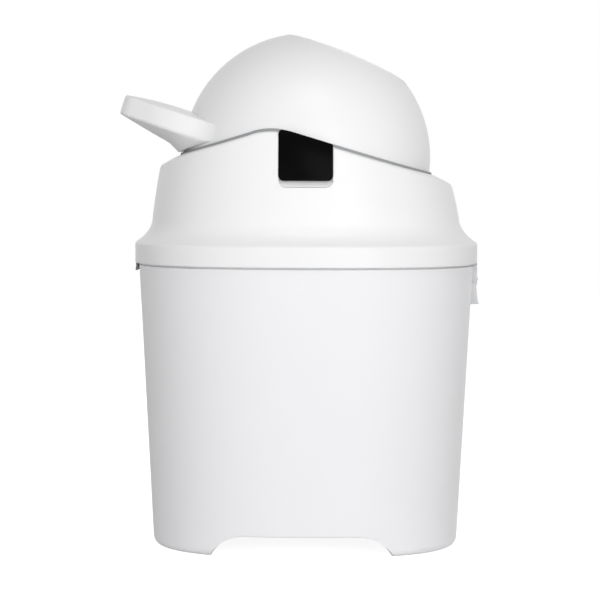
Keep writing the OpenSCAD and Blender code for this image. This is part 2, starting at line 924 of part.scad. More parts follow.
// Ring around a mouth; it follows the drum's surface, its lip stops the piston and its
// skirt goes over the end of the tube
module mouth_ring()
    intersection() {
        drum_form(mouth_stand);
        around_well()
            rotate_extrude($fn = turn_fn)
                polygon([[well_out_r + 0.05, lip_z - ring_skirt],
                         [mouth_r, lip_z - ring_skirt],
                         [mouth_r, far / 2],
                         [mouth_edge_r + 2.5, far / 2],
                         [mouth_edge_r + 2, lip_z + 12],
                         [mouth_edge_r, lip_z + 6.5],
                         [mouth_free_r, lip_z + 1],
                         [mouth_free_r, lip_z],
                         [well_out_r + 0.05, lip_z]]);
    }

module mouth_ring_a()
    color(white) placed()
        mouth_ring();

module mouth_ring_b()
    color(white) placed()
        translate([0, 0, axle_z])
            rotate([0, 180, 0])
                translate([0, 0, -axle_z])
                    mouth_ring();

module axle_bush(side)
    color(brass) placed()
        on_axle(side)
            translate([0, 0, drum_half_w - bush_l])
                tube(bush_out_r, bush_in_r, bush_l, small_fn);

module axle_bush_front()
    axle_bush(-1);

module axle_bush_rear()
    axle_bush(1);

// ---------- Handle ----------

// Plan of the handle: it leaves the drum at its root width and narrows to a blunt tip
module handle_plan(inset)
    hull() {
        for (side = [-1, 1])
            translate([handle_reach - handle_corner - 2,
                       side * (handle_tip_half_w - handle_corner)])
                circle(r = handle_corner - inset, $fn = small_fn);
        translate([handle_reach - 75, 0])
            circle(r = 75 - inset, $fn = small_fn);
        intersection() {
            polygon([for (i = [0:59])
                let (a = 6 * i)
                [(drum_r - inset) * spow(cos(a), 2 / drum_power),
                 (drum_half_w - inset) * spow(sin(a), 2 / drum_power)]]);
            translate([20, inset - handle_root_half_w])
                square([far, 2 * (handle_root_half_w - inset)]);
        }
    }

// Slab between two heights in the handle's frame, with a crown along its middle that falls
// towards the tip
module handle_slab(low, high, inset) {
    translate([0, 0, low])
        linear_extrude(high - low)
            handle_plan(inset);
    intersection() {
        translate([0, 0, low])
            linear_extrude(high - low + 2 * handle_crown)
                handle_plan(inset);
        translate([drum_r, 0, high + handle_crown])
            rotate([0, 90 + crown_fall, 0])
                translate([crown_r, 0, -far / 2])
                    cylinder(r = crown_r, h = far, $fn = 180);
    }
}

module handle_top()
    color(white) placed()
        difference() {
            in_handle()
                difference() {
                    handle_slab(slab_low, slab_high, 0);
                    difference() {
                        handle_slab(slab_low - 1, slab_high - handle_wall, handle_wall);
                        translate([-far, -far / 2, -far / 2])
                            cube([far + drum_r + 9, far, far]);
                    }
                }
            drum_form(0.02);
            translate([0, 0, drum_gap])
                roof_prism(0);
            for (side = [-1, 1])
                handle_screw_spots(side)
                    screw(handle_screw_l + 0.5, screw_r + snug);
        }

handle_screw_y = [24, 62];
handle_screw_l = 19;
screw_pad_r = 5;

// Spots inside one drum half where a screw goes out into the handle: local z = 0 at the
// foot of the head, the shank runs down
module handle_screw_spots(side)
    in_handle()
        for (y = handle_screw_y)
            translate([drum_half_r(y) - drum_wall + 0.5, side * y, -2])
                rotate([0, -90, 0])
                    children();

// Radius of the drum at distance y from its middle
function drum_half_r(y) = drum_r * pow(1 - pow(y / drum_half_w, drum_power), 1 / drum_power);

// Fairing that carries the underside of the handle down into the drum
module fairing_form(inset)
    hull() {
        translate([0, 0, slab_low - 1.2 - inset / 4])
            linear_extrude(1.2)
                handle_plan(inset + 0.6);
        translate([drum_r - 14, 0, slab_low - keel_depth + inset])
            linear_extrude(2)
                scale([1, 1.6])
                    circle(r = 26 - inset, $fn = small_fn);
    }

module handle_fairing()
    color(white) placed()
        difference() {
            in_handle()
                difference() {
                    fairing_form(0);
                    translate([0, 0, 1])
                        fairing_form(handle_wall);
                }
            drum_form(0.02);
            translate([0, 0, drum_gap])
                roof_prism(0);
        }

module handle_screws()
    color(steel) placed()
        for (side = [-1, 1])
            handle_screw_spots(side)
                screw(handle_screw_l);

// ---------- Piston ----------

// Frame of the piston at rest, local z = 0 on its lower face
module in_piston()
    in_well()
        translate([0, 0, piston_rest])
            children();

module ring_groove(z)
    translate([0, 0, z])
        tube(piston_r + 1, piston_r - ring_depth, ring_h);

module piston_cup()
    color(shade_white) placed()
        in_piston()
            difference() {
                cylinder(r = piston_r, h = piston_l - cap_t, $fn = turn_fn);
                translate([0, 0, piston_wall])
                    cylinder(r = cup_in_r, h = piston_l, $fn = turn_fn);
                ring_groove(ring_inset);
                ring_groove(piston_l - ring_inset - ring_h);
            }

module piston_cap()
    color(shade_white) placed()
        in_piston() {
            translate([0, 0, piston_l - cap_t])
                cylinder(r = piston_r, h = cap_t, $fn = turn_fn);
            translate([0, 0, piston_l - cap_t - cap_skirt])
                tube(cup_in_r - 0.1, cup_in_r - piston_wall, cap_skirt + eps);
        }

module piston_weight()
    color(steel) placed()
        in_piston()
            translate([0, 0, piston_wall])
                cylinder(r = cup_in_r - 0.1, h = weight_h, $fn = turn_fn);

module piston_ring(z)
    color(foam_grey) placed()
        in_piston()
            translate([0, 0, z])
                tube(well_r - 0.2, piston_r - ring_depth, ring_h);

module piston_ring_a()
    piston_ring(ring_inset);

module piston_ring_b()
    piston_ring(piston_l - ring_inset - ring_h);

bin_body();
hinge_leaf_lower();
hinge_screws_lower();
lid_shell();
hinge_leaf_upper();
hinge_screws_upper();
hinge_pin();
lid_gasket();
liner_deck();
liner_screws();
drum_seal();
axle_plate();
axle_pin_front();
axle_pin_rear();
latch_pin();
latch_spring();
latch_lever();
drum_shell_front();
drum_shell_rear();
drum_dowels();
well_tube();
mouth_ring_a();
mouth_ring_b();
handle_top();
handle_fairing();
handle_screws();
axle_bush_front();
axle_bush_rear();
piston_cup();
piston_cap();
piston_weight();
piston_ring_a();
piston_ring_b();
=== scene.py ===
# %% [markdown]
# # A nappy bin with a flip-over drum
# The bin is a tapered tub with a hinged lid. A drum with a well sits in the lid and turns
# about a cross axle. The nappy goes into the well, the handle is thrown over, and a
# weighted piston slides down the well and pushes the nappy into the tub. The CAD model
# fixes every size and joint. This script dresses it: it rebuilds the large moulded skins
# smoothly, gives each part its finish and sets up the light.

# %% The frame
import collections
import contextlib
import functools
import math

import bmesh
import bpy
import mathutils
import numpy as np
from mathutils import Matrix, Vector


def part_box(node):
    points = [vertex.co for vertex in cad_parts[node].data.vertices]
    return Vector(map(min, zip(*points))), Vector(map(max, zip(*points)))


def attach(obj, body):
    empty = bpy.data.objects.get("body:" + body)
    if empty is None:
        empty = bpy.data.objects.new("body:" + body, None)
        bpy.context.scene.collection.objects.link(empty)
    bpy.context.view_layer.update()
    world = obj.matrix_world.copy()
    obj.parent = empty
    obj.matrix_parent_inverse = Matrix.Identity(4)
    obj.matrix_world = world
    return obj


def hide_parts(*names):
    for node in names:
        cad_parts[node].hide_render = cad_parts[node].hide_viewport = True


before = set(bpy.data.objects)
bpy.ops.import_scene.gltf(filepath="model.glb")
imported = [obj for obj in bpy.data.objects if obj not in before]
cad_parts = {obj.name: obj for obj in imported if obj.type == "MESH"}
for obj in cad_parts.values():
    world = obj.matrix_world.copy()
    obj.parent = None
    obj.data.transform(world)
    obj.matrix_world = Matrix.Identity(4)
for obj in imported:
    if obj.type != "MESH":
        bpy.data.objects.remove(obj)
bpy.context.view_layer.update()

scene = bpy.context.scene

# %% [markdown]
# The shapes below are worked out in millimetres about the bin's own upright centre line,
# because that is how a moulding drawing gives them. The CAD model stands a few
# millimetres off that line, so that the handle's overhang is shared out. One function
# turns drawing points into the frame's metres, and nothing else needs to know the shift.

# %% Drawing sizes
MM = 0.001
PLAN_POWER = 2.5                     # squareness of the plan, where 2 is round
BIN_FOOT_W, BIN_DRAFT = 143.3, 14.3 / 263
BIN_STEP_Z, BIN_RIM_H, BIN_RIM_STEP, BIN_WALL = 263.0, 11.0, 1.5, 3.0
FLOOR_Z, FOOT_ROUND = 23.0, 8.0
ARCH_H, ARCH_TOP_W, ARCH_FLANK, ARCH_SHIFT, ARCH_POWER = 19.4, 94.0, 36.0, -3.5, 2.5
BAND_W, BAND_WALL, BAND_LOW, BAND_HIGH = 161.5, 3.5, 265.0, 281.4
FLARE_H, LID_FOOT_W, LID_WALL, LEDGE_Z = 21.6, 145.7, 3.0, 278.3
WALL_FOOT = BAND_HIGH + FLARE_H
RIDGE_X, RIDGE_Z, RIDGE_R = -32.0, 394.3, 60.0
SLOPE_LEFT, SLOPE_RIGHT = math.radians(17.5), math.radians(16.8)
ROOF_FALL, ROOF_FALL_AT = 4.2, 140.0
DRUM_R, DRUM_W, DRUM_POWER, DRUM_WALL, DRUM_GAP = 117.0, 125.5, 2.1, 3.0, 2.6
AXLE_Z, WELL_LEAN = 364.0, math.radians(22.0)
MOUTH_R, MOUTH_EDGE_R, MOUTH_FREE_R, WELL_OUT_R, WELL_HALF_L = 62.0, 58.0, 51.0, 56.5, 96.0
HANDLE_RISE = math.radians(18.0)
SLAB_LOW, SLAB_HIGH, HANDLE_ROOT_W = -14.95, 2.55, 80.0
HINGE_X, HINGE_Z, HINGE_L, KNUCKLE_R = 158.2, 250.7, 64.0, 3.2

axle_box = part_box("axle_pin_rear")
shift_x = (axle_box[0][0] + axle_box[1][0]) / 2


def in_frame(points):
    """Millimetres about the bin's centre line become metres in the frame."""
    placed = np.asarray(points, float) * MM
    placed[..., 0] += shift_x
    return placed


print("centre line of the bin at x =", round(shift_x, 5))

# %% [markdown]
# Every skin is a grid: rows run along a section and columns run round it. One helper turns
# a grid into faces, a second merges what meets and marks the creases, and a third dresses the
# finished piece, hangs it on its body and hides the CAD part it stands for. Smooth shading with
# marked creases keeps the broad curves clean while a moulded edge still reads as an edge.

# %% Mesh helpers
def linked(name, mesh):
    piece = bpy.data.objects.new(name, mesh)
    scene.collection.objects.link(piece)
    return piece


@contextlib.contextmanager
def editing(mesh):
    """The mesh opened for editing, and written back when the block ends."""
    work = bmesh.new()
    work.from_mesh(mesh)
    yield work
    work.to_mesh(mesh)
    work.free()


def polygon_mesh(name, points, faces):
    mesh = bpy.data.meshes.new(name)
    mesh.from_pydata(np.asarray(points).reshape(-1, 3).tolist(), [], faces)
    return mesh


def grid_faces(rows, cols, wrap_rows=False, wrap_cols=True):
    r = np.arange(rows if wrap_rows else rows - 1)
    c = np.arange(cols if wrap_cols else cols - 1)
    r, c = [a.ravel() for a in np.meshgrid(r, c, indexing="ij")]
    r1, c1 = (r + 1) % rows, (c + 1) % cols
    return np.stack([r * cols + c, r * cols + c1, r1 * cols + c1, r1 * cols + c], 1).tolist()


def grid_mesh(name, grid, wrap_rows=False, wrap_cols=True, cap_cols=False):
    """Mesh over a grid of points, in millimetres. cap_cols closes both end columns."""
    rows, cols = np.shape(grid)[:2]
    faces = grid_faces(rows, cols, wrap_rows, wrap_cols)
    if cap_cols:
        faces += [list(range(0, rows * cols, cols)), list(range(cols - 1, rows * cols, cols))[::-1]]
    return polygon_mesh(name, in_frame(grid), faces)


def closed(mesh):
    """Fills the open ends of a mesh and points its faces outwards."""
    with editing(mesh) as work:
        bmesh.ops.holes_fill(work, edges=work.edges)
        bmesh.ops.recalc_face_normals(work, faces=work.faces)
    return mesh


# %% Finishing helpers
def tidy_mesh(mesh, merge=2e-6, crease_deg=32.0):
    """Merges what meets, points the faces outwards and marks the creases."""
    with editing(mesh) as work:
        bmesh.ops.remove_doubles(work, verts=work.verts, dist=merge)
        bmesh.ops.dissolve_degenerate(work, edges=work.edges, dist=merge / 4)
        bmesh.ops.recalc_face_normals(work, faces=work.faces)
        for face in work.faces:
            face.smooth = True
        limit = math.radians(crease_deg)
        for edge in work.edges:
            edge.smooth = len(edge.link_faces) == 2 and edge.calc_face_angle(0.0) < limit


def dress(material, *pieces):
    """Gives pieces or CAD parts one material all over."""
    for piece in pieces:
        piece.data.materials.clear()
        piece.data.materials.append(material)


def book(piece, body, material, node):
    """Dresses a finished piece and its CAD part, hangs the piece on its body and hides the CAD part."""
    dress(material, piece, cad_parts[node])
    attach(piece, body)
    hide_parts(node)
    faces = piece.data.polygons
    uses = collections.Counter(edge for face in faces for edge in face.edge_keys)
    open_edges = sum(count != 2 for count in uses.values())
    print(f"{piece.name}: {len(faces)} faces, {open_edges} open edges, on body {body}")


def add_piece(name, mesh, crease_deg=32.0):
    tidy_mesh(mesh, crease_deg=crease_deg)
    return linked(name, mesh)


# %% [markdown]
# Windows, seats and bores are cut into the mouldings, and knuckles, webs and pads are
# joined to them. Cutters and additions are plain solids, and an exact Boolean leaves no
# gap where they meet. Each modifier is applied at once, because the next cut starts from
# its result and a finished piece keeps no modifier. The bevel helper rounds the edges last.

# %% Solid helpers
def bake(piece):
    """Applies the piece's modifiers, which leaves a plain mesh."""
    bpy.context.view_layer.update()
    graph = bpy.context.evaluated_depsgraph_get()
    mesh = bpy.data.meshes.new_from_object(piece.evaluated_get(graph))
    piece.modifiers.clear()
    piece.data = mesh


def finished(piece, kind, **settings):
    modifier = piece.modifiers.new(kind.title(), kind)
    for key, value in settings.items():
        setattr(modifier, key, value)
    bake(piece)


def joined(piece, *others, operation="UNION"):
    """Joins other solids to the piece, exactly, and removes them."""
    for other in others:
        finished(piece, "BOOLEAN", object=other, operation=operation, solver="EXACT")
        bpy.data.objects.remove(other)


def cut(piece, *cutters):
    joined(piece, *cutters, operation="DIFFERENCE")
    tidy_mesh(piece.data)


def bevelled(piece, width, segments=2, sharper_than=28.0):
    finished(piece, "BEVEL", width=width * MM, segments=segments, limit_method="ANGLE",
             angle_limit=math.radians(sharper_than))
    tidy_mesh(piece.data, crease_deg=40.0)
    return piece


def boxed(name, low, high, placed=in_frame, foot=1.0):
    """A box between two corners, in millimetres. foot narrows its lower end."""
    size, middle = np.subtract(high, low), np.add(high, low) / 2
    mesh = bpy.data.meshes.new(name)
    with editing(mesh) as work:
        bmesh.ops.create_cube(work, size=1.0)
        for vert in work.verts:
            narrow = foot if vert.co.z < 0 else 1.0
            corner = np.array(vert.co) * (narrow, narrow, 1.0)
            vert.co = placed(corner * size + middle).tolist()
    return linked(name, mesh)


def rod(name, radius, start, end, segments=64):
    """A round bar between two points, in millimetres."""
    start, end = np.array(start, float), np.array(end, float)
    axis = (end - start) / np.linalg.norm(end - start)
    side = np.cross(axis, (0.3, 0.2, 0.9))
    side /= np.linalg.norm(side)
    up = np.cross(axis, side)
    turns = np.arange(segments) * 2 * math.pi / segments
    ring = radius * (np.cos(turns)[:, None] * side + np.sin(turns)[:, None] * up)
    return linked(name, closed(grid_mesh(name, np.stack([ring + start, ring + end]))))


# %% [markdown]
# A few lines of geometry serve all the sections. Corners are arcs or bends. The lid, the
# rings and the strip are laid in rows round an axis. The well, the handle and the plate
# each lean at their own angle. Where a column meets the drum is found by halving.

# %% Section helpers
def arc(centre, radius, start, stop, count):
    """Points on an arc in a section, angles in degrees from outwards towards up."""
    turns = np.radians(np.linspace(start, stop, count))
    return [(centre[0] + radius * math.cos(t), centre[1] + radius * math.sin(t)) for t in turns]


def bend(start, corner, end, t):
    """Point on a curve that leaves start towards corner and arrives at end from it."""
    return start * (1 - t) ** 2 + corner * 2 * t * (1 - t) + end * t * t


def leaned(x, z, angle):
    """A point of a section, leaned over from upright towards the first axis."""
    c, s = math.cos(angle), math.sin(angle)
    return x * c + z * s, z * c - x * s


def laid(ux, uy, width, height):
    """A row of points: each column at its width along its direction, and at its height."""
    width, height = np.broadcast_to(width, ux.shape), np.broadcast_to(height, ux.shape)
    return np.stack([width * ux, width * uy, height], 1)


def drum_reach(along, off, grow):
    """How far the drum's skin, grown by a margin, lies from the axle, square to an offset."""
    share = np.clip(1 - (np.abs(along) / (DRUM_W + grow)) ** DRUM_POWER, 0, 1)
    return np.sqrt(np.maximum(((DRUM_R + grow) * share ** (1 / DRUM_POWER)) ** 2 - off * off, 0))


def halved(low, high, beyond):
    """Closes intervals by halving them, towards where beyond turns true."""
    for _ in range(40):
        mid = (low + high) / 2
        past = beyond(mid)
        low, high = np.where(past, low, mid), np.where(past, mid, high)
    return low, high

# %% [markdown]
# ## Node trees
# Materials, the world, two of the skins and the screws are node trees. Two small classes
# let the script write them briefly: a net adds nodes and feeds their inputs, from a number
# or from another node alike, and a value is a number in a net, on which arithmetic adds
# Math nodes.

# %% Nets and values
class Net:
    """A node tree with short forms for adding and joining nodes."""

    def __init__(self, tree):
        self.tree = tree

    def feed(self, socket, value):
        """Joins the socket to a node's output, or sets it to a constant."""
        value = value.source if isinstance(value, Value) else value
        if isinstance(value, bpy.types.NodeSocket):
            self.tree.links.new(value, socket)
        else:
            socket.default_value = value

    def add(self, kind, **values):
        """Adds a node. Each value is a setting of the node, or else feeds an input."""
        node = self.tree.nodes.new(kind)
        for key, value in values.items():
            if hasattr(node, key):
                setattr(node, key, value)
            else:
                self.feed(node.inputs[key.replace("_", " ")], value)
        return node

    def out(self, kind, output=0, **values):
        return self.add(kind, **values).outputs[output]


class Value:
    """A number in a net. Arithmetic on it adds Math nodes."""

    def __init__(self, net, source):
        self.net, self.source = net, source

    def worked(self, operation, *others, swap=False):
        """The result of a Math node on this value and others."""
        node = self.net.add("ShaderNodeMath", operation=operation)
        values = [self, *others]
        for socket, value in zip(node.inputs, values[::-1] if swap else values):
            self.net.feed(socket, value)
        return Value(self.net, node.outputs[0])

    __add__ = __radd__ = functools.partialmethod(worked, "ADD")
    __sub__ = functools.partialmethod(worked, "SUBTRACT")
    __rsub__ = functools.partialmethod(worked, "SUBTRACT", swap=True)
    __mul__ = __rmul__ = functools.partialmethod(worked, "MULTIPLY")
    __truediv__ = functools.partialmethod(worked, "DIVIDE")
    __rtruediv__ = functools.partialmethod(worked, "DIVIDE", swap=True)
    __pow__ = functools.partialmethod(worked, "POWER")
    __mod__ = functools.partialmethod(worked, "FLOORED_MODULO")
    sin = functools.partialmethod(worked, "SINE")
    cos = functools.partialmethod(worked, "COSINE")
    sqrt = functools.partialmethod(worked, "SQRT")
    abs = functools.partialmethod(worked, "ABSOLUTE")
    floor = functools.partialmethod(worked, "FLOOR")
    least = functools.partialmethod(worked, "MINIMUM")
    most = functools.partialmethod(worked, "MAXIMUM")

# %% [markdown]
# ## Finishes
# The outside is injection moulded: polypropylene with a fine spark-eroded grain on the
# tub, and a smoother, slightly glossier skin on lid, drum and handle. What the eye reads
# as plastic is the soft highlight, the grain that breaks it up, and a faint unevenness in
# the gloss where the melt cooled at different rates. Object coordinates drive it all, so
# the grain has a real size in metres and stays on the piece.

# %% Material helpers
class Look(Net):
    """A material's net, with its shader and the piece's own coordinates."""

    def __init__(self, name, **values):
        self.material = bpy.data.materials.new(name)
        self.material.use_nodes = True
        super().__init__(self.material.node_tree)
        self.shader = self.tree.nodes["Principled BSDF"]
        self.place = self.out("ShaderNodeTexCoord", "Object")
        self.shade(**values)

    def shade(self, **values):
        for key, value in values.items():
            self.feed(self.shader.inputs[key.replace("_", " ")], value)

    def noise(self, scale, detail=2.0, stretch=None):
        place = self.place
        if stretch:
            place = self.out("ShaderNodeMapping", Scale=stretch, Vector=place)
        return self.out("ShaderNodeTexNoise", "Fac", Scale=scale, Detail=detail, Vector=place)

    def spread(self, source, low, high, start=0.3, stop=0.7):
        return self.out("ShaderNodeMapRange", "Result", Value=source, From_Min=start,
                        From_Max=stop, To_Min=low, To_Max=high)

    def tint(self, source, dark, light):
        self.shade(Base_Color=self.out("ShaderNodeMix", "Result", data_type="RGBA",
                                       Factor=source, A=(*dark, 1), B=(*light, 1)))

    def bump(self, source, strength, distance, **under):
        normal = self.out("ShaderNodeBump", "Normal", Strength=strength, Distance=distance,
                          Height=source, **under)
        self.shade(Normal=normal)
        return normal


# %% Plastic
def moulded(name, colour, rough, grain, grain_depth, specular=0.5, sheen=0.0):
    """Injection-moulded plastic: even colour, uneven gloss, a grain of a real depth."""
    mat = Look(name, Specular_IOR_Level=specular, Sheen_Weight=sheen, Sheen_Roughness=0.45)
    mat.tint(mat.noise(14.0, 3.0), [c * 0.985 for c in colour], colour)
    mat.shade(Roughness=mat.spread(mat.noise(38.0, 4.0), rough - 0.03, rough + 0.03))
    # sink and flow marks are broad and shallow, the spark-eroded grain is fine
    broad = mat.bump(mat.noise(9.0, 1.0), 0.25, 0.0004)
    mat.bump(mat.noise(grain, 2.0), 0.35, grain_depth, Normal=broad)
    return mat.material


# %% Steel, foam and felt
def steel(name):
    """Zinc-plated steel: bright, with fine drawn lines and clouded plating."""
    mat = Look(name, Metallic=1.0)
    mat.tint(mat.noise(60.0, 4.0), (0.52, 0.53, 0.55), (0.68, 0.69, 0.7))
    mat.shade(Roughness=mat.spread(mat.noise(900.0, 2.0), 0.26, 0.42))
    mat.bump(mat.noise(2200.0, 1.0, (1.0, 0.06, 1.0)), 0.3, 0.00001)
    return mat.material


def foam(name):
    """Open-cell foam: a matt grey with small dark pores."""
    mat = Look(name, Roughness=0.95, Specular_IOR_Level=0.15)
    cells = mat.out("ShaderNodeTexVoronoi", "Distance", Scale=900.0, Vector=mat.place)
    pores = mat.spread(cells, 0.0, 1.0, 0.1, 0.55)
    mat.tint(pores, (0.30, 0.31, 0.33), (0.16, 0.165, 0.18))
    mat.bump(pores, 0.6, -0.0003)
    return mat.material


def felt(name):
    """Pressed felt: short fibres in two directions over a soft nap."""
    mat = Look(name, Roughness=1.0, Sheen_Weight=0.35, Specular_IOR_Level=0.1)
    fibre = mat.noise(800.0, 6.0, (1.0, 1.0, 0.15))
    mat.tint(mat.spread(fibre, 0.0, 1.0, 0.35, 0.65), (0.22, 0.22, 0.23), (0.36, 0.36, 0.37))
    mat.bump(fibre, 0.7, 0.0004)
    return mat.material


# %% Finishes
# name, colour, roughness, grains to the metre and their depth, then specular level and sheen
lid_plastic = moulded("lid_plastic", (0.88, 0.88, 0.885), 0.34, 1400.0, 0.00002, 0.3)
tub_plastic = moulded("tub_plastic", (0.87, 0.87, 0.885), 0.46, 1900.0, 0.00004, 0.35, 0.5)
hinge_plastic = moulded("hinge_plastic", (0.62, 0.625, 0.635), 0.42, 1500.0, 0.00003, 0.2)
inner_plastic = moulded("inner_plastic", (0.78, 0.79, 0.81), 0.5, 1500.0, 0.00003, 0.4)
# the lever's dark grey is partly painted shade, for the shade under the lid's band
lever_plastic = moulded("lever_plastic", (0.2, 0.205, 0.215), 0.45, 1500.0, 0.00003)
plate_gloss = moulded("plate_gloss", (0.0022, 0.0022, 0.0025), 0.22, 700.0, 0.000004, 0.02)
bush_plastic = moulded("bush_plastic", (0.66, 0.62, 0.5), 0.4, 900.0, 0.00002)
# the strip's grey is partly painted shade, for the shade down in the gap between roof and drum
strip_rubber = moulded("strip_rubber", (0.34, 0.345, 0.355), 0.62, 1600.0, 0.00003, 0.25)
zinc_steel, seal_foam, ring_felt = steel("zinc_steel"), foam("seal_foam"), felt("ring_felt")
print("finishes:", [material.name for material in bpy.data.materials if material.use_nodes])

# %% [markdown]
# ## The forms that follow a rule
# Two skins of this bin are plain rules. The drum is a barrel: each cut square to the axle
# is a circle, and the cut along it is a squared-off ellipse. The tub is one squarish
# outline that grows evenly with height, and its foot is lifted into an arch by a curve.
# A rule belongs in Geometry Nodes, where its sizes stay live.

# %% Rules
class Rule(Net):
    """A Geometry Nodes tree over one grid of points, with named inputs."""

    def __init__(self, name, section=None, **sizes):
        super().__init__(bpy.data.node_groups.new(name, "GeometryNodeTree"))
        self.sizes = {key: float(value) for key, value in sizes.items()}
        if section:
            self.socket(section, "Geometry")
        for key in sizes:
            self.socket(key, "Float")
        self.socket("Skin", "Geometry", "OUTPUT")
        self.entry = self.add("NodeGroupInput")

    def socket(self, name, kind, in_out="INPUT"):
        self.tree.interface.new_socket(name, in_out=in_out, socket_type="NodeSocket" + kind)

    def __getitem__(self, name):
        return Value(self, self.entry.outputs[name])

    def grid(self, rows, cols):
        """A flat grid, with the row and column number of each of its points."""
        sheet = self.out("GeometryNodeMeshGrid", "Mesh", Vertices_X=rows, Vertices_Y=cols)
        number = Value(self, self.out("GeometryNodeInputIndex"))
        return sheet, (number / float(cols) + 1e-4).floor(), number % float(cols)

    def place(self, sheet, x, y, z):
        """Moves the points and returns the skin, seams closed."""
        spot = self.out("ShaderNodeCombineXYZ", X=x, Y=y, Z=z)
        moved = self.out("GeometryNodeSetPosition", Geometry=sheet, Position=spot)
        return self.out("GeometryNodeMergeByDistance", Geometry=moved, Distance=2e-6)

    def finish(self, skin, material):
        real = self.out("GeometryNodeRealizeInstances", Geometry=skin)
        self.add("NodeGroupOutput",
                 Skin=self.out("GeometryNodeSetMaterial", Geometry=real, Material=material))
        print(self.tree.name, "has", len(self.tree.nodes), "nodes")
        return self

    def grow(self, name, mesh=None, **values):
        """Runs the rule with its sizes and returns an object with the plain mesh."""
        piece = linked(name, mesh or bpy.data.meshes.new(name))
        modifier = piece.modifiers.new("rule", "NODES")
        modifier.node_group = self.tree
        given = {**self.sizes, **values}
        for item in self.tree.interface.items_tree:
            if item.in_out == "INPUT" and item.name in given:
                modifier[item.identifier] = given[item.name]
        bake(piece)
        piece.data.name = name
        return piece

# %% [markdown]
# ## Drum
# The drum is two half shells that meet on the plane of the well. Each is a patch of the
# barrel between the rims of the two mouths. A point is reached from the axle: the angle
# from the well's axis gives a direction, and the barrel's rule gives how far the skin lies
# that way. Where the rim starts can be solved in closed form, so rows run from rim to rim
# with no cutting. Solidify then gives the wall its thickness.

# %% Drum rule
def barrel_rule(rows, cols):
    rule = Rule("barrel_skin", Radius=DRUM_R * MM, HalfWidth=DRUM_W * MM, Power=DRUM_POWER,
                Rim=MOUTH_R * MM, Lean=WELL_LEAN, Seam=0.0002, Side=1.0,
                CentreX=shift_x, CentreZ=AXLE_Z * MM)
    sheet, row, col = rule.grid(rows, cols)
    radius, half_w, power = rule["Radius"], rule["HalfWidth"], rule["Power"]
    rim, lean = rule["Rim"], rule["Lean"]
    start = rule["Seam"] / rim
    turn = start + (math.pi - 2 * start) * (col / float(cols - 1))
    rim_y, rim_x = rim * turn.sin(), rim * turn.cos()
    section = radius * (1 - (rim_y / half_w) ** power) ** (1 / power)
    rim_up = (section * section - rim_x * rim_x).sqrt()
    rim_angle = (rim / rim_up).worked("ARCTANGENT")
    tilt = rim_angle + (math.pi - 2 * rim_angle) * (row / float(rows - 1))
    x, y, z = tilt.sin() * turn.cos(), tilt.sin() * turn.sin(), tilt.cos()
    across = (x * x + z * z).sqrt() / radius
    reach = 1 / (across ** power + (y.abs() / half_w) ** power) ** (1 / power)
    return rule.finish(rule.place(
        sheet, reach * (x * lean.cos() + z * lean.sin()) + rule["CentreX"],
        reach * y * rule["Side"],
        reach * (z * lean.cos() - x * lean.sin()) + rule["CentreZ"]), lid_plastic)


barrel = barrel_rule(rows=110, cols=121)

# %% [markdown]
# The bush of the axle sits in a round hole at the pole of each half. Rims and seam edges of
# a real moulding are never knife sharp, so the shell gets a small bevel after Solidify.

# %% Drum shells
BUSH_R, POLE = 9.5, (100.0, 140.0)

for end, side in (("front", -1.0), ("rear", 1.0)):
    shell = barrel.grow(f"drum_skin_{end}", Side=side)
    tidy_mesh(shell.data)
    sample = shell.data.polygons[len(shell.data.polygons) // 2]
    outwards = np.array(sample.center) - (shift_x, 0, AXLE_Z * MM)
    if np.dot(np.array(sample.normal), outwards) < 0:
        shell.data.flip_normals()
    finished(shell, "SOLIDIFY", thickness=DRUM_WALL * MM, offset=-1.0, use_even_offset=True)
    bevelled(shell, 0.6, sharper_than=50.0)
    cut(shell, rod("bush_bore", BUSH_R, *[(0, side * y, AXLE_Z) for y in POLE]))
    book(shell, "drum", lid_plastic, f"drum_shell_{end}")

# %% [markdown]
# ## Tub
# The tub is one moulding: a wall with an even draft, a step under the rim for the lid's
# band, and a rounded foot that is lifted front and back into a low arch. Its section is
# drawn once, from the middle of the floor over the rim and down to the foot ring, and the
# rule carries it round the plan. Near the foot the rule raises each point by the arch's
# curve and slides it along the drafted wall, so the arch needs no cutting.

# %% Tub section
def tub_half_w(z):
    return BIN_FOOT_W + BIN_DRAFT * z


def foot_w(z):
    """Half width of the outside near the foot, with its rounding."""
    if z >= FOOT_ROUND:
        return tub_half_w(z)
    lean = 1 - z / FOOT_ROUND
    return tub_half_w(FOOT_ROUND) - FOOT_TUCK * FOOT_ROUND * (1 - math.sqrt(1 - lean * lean))


PLAIN, OUTSIDE, SKIRT = 0.0, 1.0, 2.0
FOOT_TUCK = 0.8                      # share of the foot's rounding that goes inwards
ARCH_REACH = 32.0                    # height over which the arch's lift dies out
RIM_W, RIM_Z = tub_half_w(BIN_STEP_Z) - BIN_RIM_STEP, BIN_STEP_Z + BIN_RIM_H
INNER_Z, INNER_ROUND, RIM_BELOW = FLOOR_Z + BIN_WALL, 9.0, 17.0
SKIRT_W = BIN_FOOT_W - FOOT_ROUND - 1
SKIRT_LEAN = (tub_half_w(FLOOR_Z) - BIN_WALL - SKIRT_W) / FLOOR_Z
wall_z = INNER_Z + INNER_ROUND       # where the straight run of the inside starts
wall_rise = RIM_Z - RIM_BELOW - wall_z
low_w, high_w = tub_half_w(wall_z) - BIN_WALL, RIM_W - BIN_WALL

